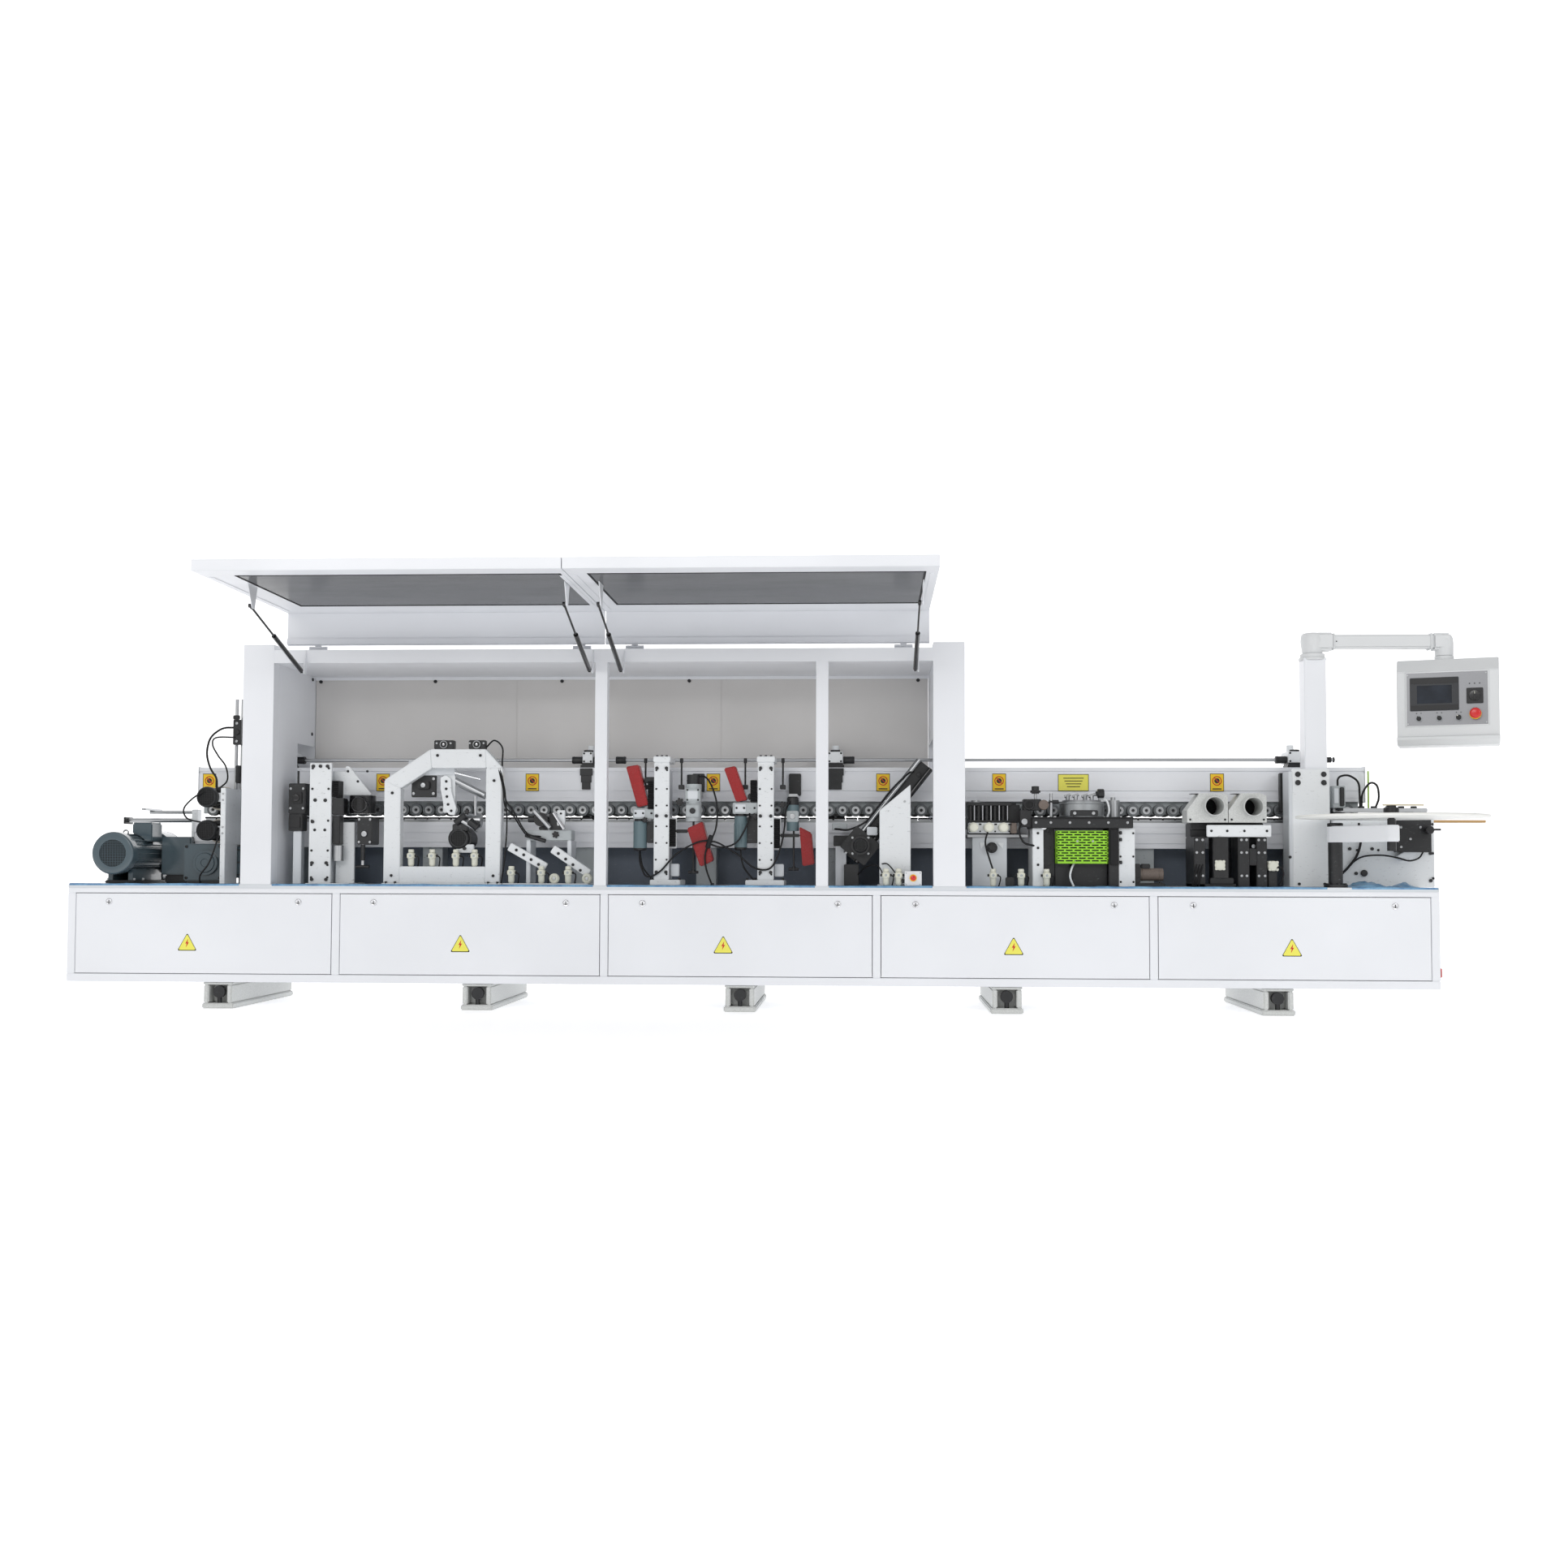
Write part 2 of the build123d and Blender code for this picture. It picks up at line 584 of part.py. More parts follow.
# ---- drive and buffing at the outfeed end ---------------------------------------------------------
def drive_unit():
    """The feed motor with its gear head behind it, its feet and terminal box, and the worm gearbox beside it."""
    x, z, radius = -3062, 745, 104
    body, head = radius - 6, radius + 14
    fan_end, body_end, head_end = -335, 50, 200
    foot_top = z - 78
    side_case = (x + head + 2, CHAIN_ENDS[0])
    shapes = [
        rod((x, -385, z), (x, fan_end, z), radius),
        rod((x, fan_end, z), (x, body_end, z), body),
        rod((x, body_end, z), (x, head_end, z), head),
        block((x + 10, x + 110), (-190, -70), (z + 60, z + 150)),
        block((x - 75, x + 75), (-300, 190), (BED_TOP, BED_TOP + 16)),
        block((x - 62, x - 38), (-290, 40), (BED_TOP + 16, foot_top)),
        block((x + 38, x + 62), (-290, 40), (BED_TOP + 16, foot_top)),
        block((x - 60, x + 60), (60, 180), (BED_TOP + 16, foot_top)),
    ]
    for index in (3, 5, 6):
        shapes[index] = shapes[index] - rod((x, fan_end, z), (x, body_end, z), body)
    shapes[7] = shapes[7] - rod((x, body_end, z), (x, head_end, z), head)
    shapes += [
        block(side_case, (-100, 110), (640, 830)),
        block((side_case[0] + 16, side_case[1] - 20), (-90, 100), (BED_TOP, 640)),
        block((CHAIN_ENDS[0], -2590), (-190, -80), (609, 795)),
        block((-2590, -2471), (-170, -80), (625, 780)),
        rod((-2675, -190, 700), (-2675, -206, 700), 62),
    ]
    return shapes


def buffing_unit():
    """Two motors for the cloth wheels, their stand, and the lamp posts beside them."""
    x, radius = -2625, 51
    shapes = []
    for z in (1021, 858):
        shapes.append(rod((x, -330, z), (x, -300, z), radius))
        shapes.append(rod((x, -300, z), (x, -180, z), radius - 5))
        shapes.append(rod((x, -180, z), (x, -170.5, z), radius))
    for post in (-2577, -2547):
        shapes.append(rod((post, LAMP_POST_Y, BED_TOP), (post, LAMP_POST_Y, 1525), 8))
    shapes.append(block((-2582, -2542), (LAMP_POST_Y - 38, LAMP_POST_Y - 8), (1293, 1419)))
    shapes.append(block((-2552, -2527), (-330, -170), (BED_TOP, 790)))
    shapes.append(block((-2552, -2527), (-330, LAMP_POST_Y - 8), (790, 1065)))
    for z in (1021, 858):
        arm = block((-2600, -2552), (-290, -200), (z - 22, z + 22))
        shapes.append(arm - rod((x, -300, z), (x, -180, z), radius - 5))
    shapes.append(block((-2720, -2552), (-310, -240), (BED_TOP, BED_TOP + 14)))
    return shapes


def buffing_wheel(z):
    """Stacked cloth discs on the motor's shaft."""
    x, radius = -2625, 60
    shapes = [rod((x, -170, z), (x, -150, z), 9)]
    for index in range(5):
        low = -150 + index * 14
        shapes.append(rod((x, low, z), (x, low + 11, z), radius))
        shapes.append(rod((x, low + 11, z), (x, low + 14, z), radius - 8))
    return shapes


def outfeed_supports():
    post = (-2880, -2850)
    return [
        block(post, (120, 170), (BED_TOP, 975)),
        rod((-2880, 145, 961), (-3110, 145, 961), 8),
        rod((-2880, 145, 919), (-3220, 145, 919), 11),
        block((-3110, -3090), (40, 250), (969, 979)),
        block((-3230, -3220), (100, 190), (900, 935)),
    ]


# ---- finishing units ----------------------------------------------------------------------------
def scraping_tower():
    front = (TOWER_FRONT, TOWER_FRONT + PLATE)
    behind = (front[1], -90)
    return [
        block((-2108, -2001), front, (602, 1186)),
        block((-2092, -2017), behind, (602, 1150)),
        block((-2120, -1905), (front[0] - 10, -90), (BED_TOP, 602)),
        block((-2001, -1909), (-258, -244), (602, 900)),
        prism_y([(-1957, 1175), (-1940, 1175), (-1830, 1040), (-1830, 1032), (-1957, 1032)], (-260, -245)),
        block((-2017, -1957), (-260, -245), (1032, 1150)),
    ]


def tracking_arch():
    """A bent frame of flat members with a slanted left shoulder."""
    y = (TOWER_FRONT, TOWER_FRONT + 60)
    foot = 604
    shoulder, peak, corner = (-1740, 1103), (-1515, 1253), (-1245, 1253)
    inner_shoulder, inner_peak, inner_corner = (-1660, 1064), (-1508, 1162), (-1242, 1162)
    outside = (-1162, 1162)
    members = [
        [(-1740, foot), (-1660, foot), inner_shoulder, shoulder],
        [shoulder, inner_shoulder, inner_peak, peak],
        [peak, inner_peak, inner_corner, corner],
        [corner, inner_corner, outside],
        [inner_corner, outside, (-1172, foot), (-1242, foot)],
        [(-1660, foot), (-1242, foot), (-1242, 684), (-1660, 684)],
    ]
    shapes = [prism_y(points, y) for points in members]
    shapes.append(block((-1745, -1160), (y[0] - 12, -160), (BED_TOP, foot)))
    shapes.append(block((-1466, -1408), (y[1], y[1] + 40), (947, 1129)))
    shapes.append(block((-1640, -1408), (y[1], y[1] + 30), (1129, 1200)))
    shapes.append(block((-1500, -1404), (y[0] + 6, y[1] - 6), (1253, 1297)))
    shapes.append(block((-1330, -1250), (y[0] + 6, y[1] - 6), (1253, 1297)))
    shapes.append(block((-940, -874), (-300, -284), (862, 945)))
    for start, end in (((-1128, 782), (-950, 682)), ((-917, 771), (-740, 652))):
        shapes.append(sloped_bar(start, end, 40, (-330, -300)))
    shapes.append(block((-1150, -735), (-372, -160), (BED_TOP, 604)))
    shapes.append(block((-1050, -1030), (-300, -160), (604, 812)))
    shapes.append(block((-850, -830), (-300, -160), (604, 812)))
    return shapes


def finishing_motors():
    """Black motors, slides and cutter blocks of the scraping and rounding units."""
    return [
        block((-2000, -1942), (-330, -262), (935, 1015)),
        block((-2000, -1963), (-318, -262), (790, 930)),
        rod((-1975, -300, 710), (-1975, -300, 785), 27),
        rod((-1872, -250, 942), (-1872, -250, 1030), 64),
        block((-1880, -1806), (-310, -190), (790, 925)),
        rod((-1853, -300, 690), (-1853, -300, 790), 8),
        rod((-1885, -300, 682), (-1821, -300, 682), 8),
        block((-2219, -2135), (-320, -230), (940, 1088)),
        block((-2221, -2151), (-310, -240), (856, 940)),
        block((-2200, -2160), (-300, -250), (BED_TOP, 856)),
        block((-1623, -1501), (-280, -262), (1022, 1129)),
        rod((-1390, -255, 1086), (-1262, -255, 1027), 15),
        rod((-1388, -240, 909), (-1285, -240, 909), 34),
        rod((-1380, -275, 818), (-1380, -150, 818), 56),
        block((-1600, -1520), (-262, -200), (1030, 1128)),
        rod((-975, -330, 913), (-975, -180, 913), 34),
        block((-1050, -830), (-300, -200), (812, 862)),
        block((-990, -960), (-300, -200), (862, 878.9)),
        block((-940, -880), (-284, -230), (870, 930)),
        rod((-904, -348, 628), (-904, -332, 628), 24),
        rod((-745, -348, 628), (-745, -332, 628), 24),
    ]


def trim_tower(left, right, base):
    front = (TOWER_FRONT, TOWER_FRONT + PLATE)
    rear_x = (left + 10, right - 10)
    return [
        block((left, right), front, (623, 1190)),
        block(rear_x, (front[1], -120), (623, 1160)),
        block((left - 4, right + 4), (front[0] - 6, -130), (1190, 1217)),
        block(base, (front[0] - 12, -110), (BED_TOP, 623)),
    ]


def trim_units():
    """The fine and rough trimming towers with their lower cutter heads."""
    towers = trim_tower(-424, -350, (-440, -295)) + trim_tower(76, 154, (19, 204))
    return towers + lower_trim_heads()


def trim_motor(x, y, z, radius, cap):
    """An upright high-frequency motor with a narrower end cap."""
    return [
        rod((x, y, z[0]), (x, y, z[1]), radius),
        rod((x, y, z[1]), (x, y, z[1] + cap), radius - 5),
    ]


def lower_trim_heads():
    shapes = trim_motor(-496, -290, (776, 905), 33, 12)
    shapes += trim_motor(-8, -290, (780, 930), 31, 12)
    shapes.append(block((-528, -424), (-322, -258), (917, 968)))
    shapes.append(block((-45, 76), (-322, -258), (942, 996)))
    shapes.append(block((-463, -424), (-300, -280), (800, 905)))
    shapes.append(block((23, 76), (-300, -280), (800, 930)))
    return shapes


def upper_trim_heads():
    shapes = trim_motor(-238, -285, (905, 1085), 38, 46)
    shapes += trim_motor(243, -285, (860, 985), 30, 40)
    for x, low, radius in ((-238, 1030, 38), (243, 1010, 25)):
        shapes.append(block((x - 22, x + 22), (-285 + radius, BEAM_Y[0]), (low, low + 30)))
        shapes.append(block((x - 30, x + 30), (BEAM_Y[0] - 20, BEAM_Y[0]), (low + 30, 1150)))
    return shapes


def trim_dust_ducts():
    """Folded red suction ducts beside the cutters."""
    y = (-335, -255)
    outlines = [
        [(-562, 1168), (-500, 1178), (-452, 985), (-505, 972)],
        [(-265, 870), (-190, 905), (-137, 716), (-200, 686)],
        [(-88, 1160), (-32, 1172), (25, 1008), (-28, 998)],
        [(276, 880), (335, 850), (349, 700), (292, 690)],
    ]
    shapes = [prism_y(outline, y) for outline in outlines]
    shapes += [
        block((-478, -424), (-300, -270), (1090, 1120)),
        block((-350, -264), (-300, -270), (850, 866)),
        block((25, 76), (-300, -270), (1010, 1040)),
        block((154, 278), (-300, -270), (830, 846)),
    ]
    return shapes


def end_trim_frame():
    """The slanted guide frame that carries the snipping saw."""
    start, end = END_RAIL
    shapes = [
        block((489, 560), (-240, -150), (BED_TOP, 700)),
        sloped_bar(start, end, 96, (-215, -150)),
        block((660, 808), (-150, -70), (BED_TOP, 800)),
    ]
    return shapes + end_trim_rails() + end_trim_plate()


def end_trim_rails():
    """Two ground guide rods in front of the slanted frame."""
    (low_x, low_z), (high_x, high_z) = END_RAIL
    length = math.hypot(high_x - low_x, high_z - low_z)
    side_x, side_z = (low_z - high_z) / length, (high_x - low_x) / length
    shapes = []
    for offset in (-34, 34):
        start = (low_x + side_x * offset, -226, low_z + side_z * offset)
        end = (high_x + side_x * offset, -226, high_z + side_z * offset)
        shapes.append(rod(start, end, 10.5))
    return shapes


def end_trim_plate():
    """The slant-topped side plate and the stop-button box beside it."""
    outline = [(660, 604), (808, 604), (808, 1081), (660, 957)]
    return [
        prism_y(outline, (-350, -335)),
        block((650, 820), (-370, -250), (BED_TOP, 604)),
        block((778, 858), (-425, -385), (BED_TOP, 668)),
    ]


def end_trim_saw():
    """The saw carriage that runs on the slanted rods, with its motor."""
    run, rise = END_RAIL[1][0] - END_RAIL[0][0], END_RAIL[1][1] - END_RAIL[0][1]
    length = math.hypot(run, rise)
    along = (run / length, rise / length)
    half = 65
    middle = (END_RAIL[0][0] + along[0] * (half + 10), END_RAIL[0][1] + along[1] * (half + 10))
    start = (middle[0] - along[0] * half, middle[1] - along[1] * half)
    end = (middle[0] + along[0] * half, middle[1] + along[1] * half)
    carriage = sloped_bar(start, end, 150, (-268, -237))
    motor = rod((middle[0], -325, middle[1]), (middle[0], -268, middle[1]), 44)
    cap = rod((middle[0], -334, middle[1]), (middle[0], -325, middle[1]), 36)
    return [carriage, motor, cap]


# ---- gluing, pressing and pre-milling ----------------------------------------------------------------
def press_frame():
    shapes = [
        block((1085, 1375), (-230, -64), (831, 846)),
        block((1108, 1274), (-230, -214), (BED_TOP, 831)),
        block((1120, 1262), (-214, -90), (BED_TOP, 640)),
    ]
    return shapes + press_rollers()


def press_rollers():
    """Idle pressure rollers and their air cylinders."""
    shapes = []
    for x in (1215, 1262, 1309):
        shapes.append(rod((x, -106, 905), (x, -106, 1003), 21))
    for x in (1215, 1310):
        shapes.append(rod((x, -110, 846), (x, -110, 868), 12))
    shapes.append(rod((1130, -124, 846), (1130, -124, 868 - RUNNING_GAP), 18))
    shapes.append(block((1085, 1290), (-232, -205), (846, 905)))
    shapes.append(block((1185, 1340), (-140, -74), (868, 905)))
    for x in (1108, 1182, 1252):
        shapes.append(rod((x, -330, 878), (x, -232, 878), 22))
    shapes.append(block((1190, 1340), (-200, -132), (905, 990)))
    return shapes


def press_roller():
    return [rod((1130, -124, 868), (1130, -124, 1005), 48), rod((1130, -124, 1005), (1130, -124, 1014), 20)]


def glue_unit():
    drum = (1627, -275)
    shapes = [
        block((1383, 1857), (-370, -100), (874, 927)),
        block((1745, 1790), (-350, -150), (BED_TOP, 874)),
        block((1440, 1494), (-300, -120), (BED_TOP, 874)),
        rod((drum[0], drum[1], 927), (drum[0], drum[1], 1000), 105),
        rod((drum[0], drum[1], 1000), (drum[0], drum[1], 1008), 92),
        rod((1708, -300, 1008), (1708, -300, 1032), 6),
        rod((1708, -300, 1032), (1708, -300, 1046), 18),
        rod((1476, -330, 927), (1476, -330, 1040), 8),
        block((1345, 1430), (-330, -262), (960, 1013)),
        rod((1405, -296, 1013), (1405, -296, 1040), 7),
        rod((1405, -296, 1040), (1405, -296, 1075), 18),
        block((1330, 1383), (-330, -262), (880, 960)),
    ]
    return shapes + glue_columns()


def glue_roller():
    return [rod((1800, -112, 928), (1800, -112, 1015), 33), rod((1800, -112, 1015), (1800, -112, 1030), 12)]


def glue_guard():
    """A lime guard of slotted sheet in front of the glue pot."""
    x, z, y = (1497, 1742), (707, 862), (-352, -349)
    margin, rows, rib = 14, 12, 6
    shapes = [block((low, low + margin), y, z) for low in (x[0], x[1] - margin)]
    middle = (x[0] + x[1]) / 2
    shapes.append(block((middle - 5, middle + 5), y, z))
    pitch = (z[1] - z[0] - rib) / rows
    for run in ((x[0] + margin, middle - 5), (middle + 5, x[1] - margin)):
        for index in range(rows + 1):
            low = z[0] + index * pitch
            shapes.append(block(run, y, (low, low + rib)))
    for low in (x[0], x[1] - SHEET):
        shapes.append(block((low, low + SHEET), (y[1], -300), z))
    return shapes


def glue_columns():
    return [
        block((1387, 1438), (-340, -120), (BED_TOP, 874)),
        block((1792, 1868), (-345, -120), (BED_TOP, 874)),
        block((1260, 1300), (-345, -300), (BED_TOP, 640)),
        block((1497, 1742), (-300, -292), (BED_TOP, 862)),
    ]


def premill_unit():
    return [
        block((2148, 2200), (-330, -120), (BED_TOP, 834)),
        block((2440, 2489), (-330, -120), (BED_TOP, 834)),
        block((2350, 2403), (-345, -120), (BED_TOP, 834)),
        block((2148, 2489), (-240, -120), (834, 902)),
        rod((2275, -300, 640), (2275, -300, 830), 52),
        rod((1900, -270, 655), (2010, -270, 655), 30),
        block((1868, 2015), (-310, -200), (BED_TOP, 614)),
    ] + premill_covers() + [block((1868, 1900), (-305, -235), (614, 706))]


def premill_covers():
    """White shelf and air cylinders of the pre-milling unit."""
    return [
        block((2205, 2506), (-348, -332), (834, 890)),
        rod((2263, -360, 700), (2263, -352.5, 700), 24),
        rod((2515, -345, 697), (2515, -200, 697), 24),
        block((2495, 2535), (-330, -230), (BED_TOP, 672)),
    ]


def premill_dust_hoods():
    """Two folded suction hoods, each with a round port facing the operator."""
    y = (-330, -200)
    shapes = []
    for x, port in (((2117, 2308), (2235, 978)), ((2311, 2489), (2416, 976))):
        shapes += dust_hood(x, port, y)
    return shapes


def dust_hood(x, port, y):
    radius, wall, stub = 46, 4, 62
    outline = [(x[0], 902), (x[1], 902), (x[1], 1028), (x[1] - 30, 1041), (x[0] + 60, 1041), (x[0], 960)]
    port_x, port_z = port
    bore = rod((port_x, y[0], port_z), (port_x, y[1] - 20, port_z), radius - wall)
    body = prism_y(outline, y) - bore
    collar = ring_y(port_x, (y[0] - stub, y[0]), port_z, radius, radius - wall)
    return [body, collar]


# ---- infeed end ------------------------------------------------------------------------------------
def infeed_column():
    x, y = MAST
    half = MAST_HALF
    return [
        block((2631, 2809), (-240, -222), (BED_TOP, 1162)),
        block((2616, 2631), (-240, -120), (BED_TOP, 1150)),
        block((2645, 2800), (-222, -70), (BED_TOP, 1140)),
        block((x - half, x + half), (y - 42, y + half), (1140, MAST_TOP)),
        rod((x, y + 5, MAST_TOP), (x, y + 5, MAST_TOP + 20), 58),
    ] + infeed_covers()


def console_arm():
    x, y = MAST[0], MAST[1] + 5
    neck_x, neck_y = NECK
    elbow = (MAST_TOP + 20 + RUNNING_GAP, ARM_Z + 44)
    hub = rod((x, y, elbow[0]), (x, y, elbow[1]), 56)
    return [
        hub,
        rod((x + 30, y, ARM_Z), (neck_x - 66, y, ARM_Z), ARM_RADIUS) - hub,
        block((neck_x - 66, neck_x + 50), (neck_y - 42, neck_y + 42), (ARM_Z - 42, ARM_Z + 40)),
        rod((neck_x, neck_y, NECK_LOW + 20 + RUNNING_GAP), (neck_x, neck_y, ARM_Z - 42), 40),
    ]


def console_frame():
    """Where the turned operator box sits."""
    return Pos(NECK[0], NECK[1], 0) * Rot(0, 0, CONSOLE_YAW)


def console_box():
    """The hanging operator box: slanted top, shallow lower ledge."""
    half = CONSOLE_WIDTH / 2
    shift = CONSOLE_SHIFT
    front = -CONSOLE_DEPTH + 60
    profile = [
        (60, CONSOLE_LOW),
        (60, CONSOLE_HIGH - 4),
        (front + 66, CONSOLE_HIGH),
        (front, CONSOLE_HIGH - 64),
        (front, CONSOLE_LOW + 34),
        (front + 18, CONSOLE_LOW),
    ]
    shell = prism_x(profile, (shift - half, shift + half))
    ledge = block((shift - half, shift + half), (front - 10, front), (CONSOLE_LOW + 26, CONSOLE_LOW + 38))
    neck = rod((0, 0, CONSOLE_HIGH - 10), (0, 0, NECK_LOW + 20), 44)
    trimmed = neck - shell
    return [console_frame() * shape for shape in (shell, ledge, trimmed)]


def console_switch(x, z, radius, depth, gap):
    front = -CONSOLE_DEPTH + 60
    return console_frame() * rod((x, front - gap, z), (x, front - gap - depth, z), radius)


def emergency_stop():
    return [
        console_switch(*STOP_AT, 12, 20, 4.5),
        console_switch(*STOP_AT, 25, 16, 24.5),
    ]


def selector_switch():
    return [console_switch(*SELECTOR_AT, 12, 22, RUNNING_GAP)]


def reel_post():
    x, y = REEL_POST
    spindle_x, spindle_y = REEL
    run, rise = spindle_x - x, spindle_y - y
    length = math.hypot(run, rise)
    side_x, side_y = -rise / length * 26, run / length * 26
    end_x, end_y = spindle_x + run / length * 30, spindle_y + rise / length * 30
    start_x, start_y = x + run / length * 33, y + rise / length * 33
    corners = [
        (start_x + side_x, start_y + side_y),
        (end_x + side_x, end_y + side_y),
        (end_x - side_x, end_y - side_y),
        (start_x - side_x, start_y - side_y),
    ]
    edge = Polyline(*[(px, py, REEL_ARM[0]) for px, py in corners], close=True)
    bar = extrude(make_face(edge), amount=REEL_ARM[1] - REEL_ARM[0], dir=(0, 0, 1))
    arm = bar - rod((x, y, 780), (x, y, 910), 33)
    return [
        rod((x, y, BED_TOP), (x, y, BED_TOP + 14), 54),
        rod((x, y, BED_TOP + 14), (x, y, 898), 33),
        arm,
        rod((spindle_x, spindle_y, REEL_ARM[1]), (spindle_x, spindle_y, REEL_Z[0] - 4), 18),
        rod((spindle_x, spindle_y, REEL_Z[0] - 4), (spindle_x, spindle_y, REEL_Z[0] - RUNNING_GAP), 14),
        rod((spindle_x, spindle_y, REEL_ARM[0] - 42), (spindle_x, spindle_y, REEL_ARM[0]), 20),
    ]


def reel_disc():
    """The turntable for the coil of edge band, with its hub and clamping knob."""
    x, y = REEL
    return [
        rod((x, y, REEL_Z[0]), (x, y, REEL_Z[1]), REEL_RADIUS),
        rod((x, y, REEL_Z[1]), (x, y, REEL_Z[1] + 36), 34),
        rod((x, y, REEL_Z[1] + 36), (x, y, REEL_Z[1] + 46), 22),
    ]


def infeed_fence():
    return [
        block((3130, 3292), (-215, -150), (765, 926)),
        rod((3271, -240, 870), (3271, -215, 870), 14),
        block((3327, 3578), (-130, -64), (908, 921)),
        block((3300, 3327), (-130, -20), (880, 926)),
        block((2860, 3310), (-110, -64), (959, 979)),
        block((2844, 2905), (-160, -100), (979, 1085)),
    ]


def infeed_covers():
    return [
        block((2841, 3326), (-150, -130), (BED_TOP, 942)),
        block((2861, 2901), (-130, -64), (BED_TOP, 959)),
        block((3200, 3240), (-130, -64), (BED_TOP, 959)),
    ]


def pneumatic_regulators():
    """Small bowl-type regulators standing on the bed beside the units."""
    shapes = []
    places = [(-1612, 684, -310), (-1508, 684, -310), (-1392, 684, -310), (-1300, 684, -310)]
    places += [(-1111, 604, -350), (-965, 604, -350), (-835, 604, -350)]
    places += [(690, BED_TOP, -395), (750, BED_TOP, -395)]
    places += [(1200, BED_TOP, -330), (1330, BED_TOP, -360), (1450, BED_TOP, -360)]
    for x, z, y in places:
        shapes.append(rod((x, y, z), (x, y, z + 38), 15))
        shapes.append(block((x - 19, x + 19), (y - 17, y + 17), (z + 38, z + 66)))
        shapes.append(rod((x, y, z + 66), (x, y, z + 82), 14))
    return shapes


def cap_screw(x, y, z, radius, height):
    return rod((x, y, z), (x, y - height, z), radius)


def socket_screws():
    """Cap screws in the front plates of the towers and of the infeed column."""
    shapes = []
    patterns = [
        (TOWER_FRONT, [(-2090, 1170), (-2055, 1170), (-2020, 1170), (-2090, 900), (-2090, 700)]),
        (TOWER_FRONT, [(-2020, 700), (-2090, 620), (-2020, 620)]),
        (TOWER_FRONT, [(-410, 1160), (-364, 1160), (-410, 930), (-364, 930), (-410, 660), (-364, 660)]),
        (TOWER_FRONT, [(90, 1160), (140, 1160), (90, 930), (140, 930), (90, 660), (140, 660)]),
        (-240, [(2655, 1135), (2785, 1135), (2655, 1092), (2785, 1092)]),
        (-150, [(2924, 781), (3030, 781), (3306, 760), (3306, 629), (2953, 663)]),
    ]
    for y, places in patterns:
        shapes += [cap_screw(x, y, z, 8, 8) for x, z in places]
    return shapes


# ---- leads clipped between the units ------------------------------------------------------------------
def lead(points, radii, radius):
    """A fixed lead: straight runs joined by tangent arcs."""
    path = FilletPolyline(*points, radius=radii)
    start = path @ 0
    section = Plane(origin=start, z_dir=path % 0) * Circle(radius)
    return sweep(section, path=path)


def machine_cables():
    """The lead of the lamp head and the lead of the limit switch."""
    lamp_lead = [(-2582, -95, 1380), (-2640, -95, 1380), (-2700, -105, 1335), (-2712, -125, 1250)]
    lamp_lead += [(-2680, -150, 1170), (-2628, -190, 1120), (-2628, -190, 1067)]
    switch_lead = [(2880, -118, 1085), (2880, -118, 1130), (2930, -116, 1142), (2985, -110, 1110)]
    switch_lead.append((2992, -100, 979))
    radius = 5
    return [lead(points, bend_radii(points), radius) for points in (lamp_lead, switch_lead)]


def bend_radii(points):
    """0.45 of the shorter run beside each corner, over the tangent of half its turn."""
    radii = []
    for before, corner, after in zip(points, points[1:], points[2:]):
        incoming = Vector(*corner) - Vector(*before)
        outgoing = Vector(*after) - Vector(*corner)
        turn = math.radians(incoming.get_angle(outgoing))
        radii.append(0.45 * min(incoming.length, outgoing.length) / math.tan(turn / 2))
    return radii


# ---- write every sub-part ----------------------------------------------------------------------------
def main():
    os.makedirs("parts", exist_ok=True)
    save("base_frame", base_frame())
    save("bed_plate", bed_plate())
    for index in range(DOOR_COUNT):
        save(f"front_door_{index + 1}", front_door(index))
    for side in ("left", "right"):
        save(f"hood_{side}", hood(side))
        save(f"hood_{side}_window", hood_window(side))
        save(f"strut_cylinders_{side}", strut_cylinders(side))
        save(f"strut_rods_{side}", strut_rods(side))
    save("buffing_wheel_upper", buffing_wheel(1021))
    save("buffing_wheel_lower", buffing_wheel(858))
    save("press_roller_large", press_roller())
    makers = [cast_feet, levelling_bolts, control_cabinet, side_posts, hood_frame, back_panels]
    makers += [conveyor_beam, conveyor_chain, chain_sprocket, pressure_beam, pressure_rollers]
    makers += [lift_columns, lift_gearboxes, lift_shaft, drive_unit, buffing_unit, outfeed_supports]
    makers += [scraping_tower, tracking_arch, finishing_motors, trim_units, upper_trim_heads]
    makers += [trim_dust_ducts, end_trim_frame, end_trim_saw, press_frame, glue_unit, glue_roller]
    makers += [glue_guard, premill_unit, premill_dust_hoods, infeed_column, infeed_fence]
    makers += [console_arm, console_box, emergency_stop, selector_switch, reel_post, reel_disc]
    makers += [pneumatic_regulators, socket_screws, machine_cables]
    for maker in makers:
        save(maker.__name__, maker())
    print(len(written), "nodes")


main()
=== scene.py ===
import json
import math
import random
from itertools import product

import bmesh
import bpy
from mathutils import Matrix, Quaternion, Vector, noise


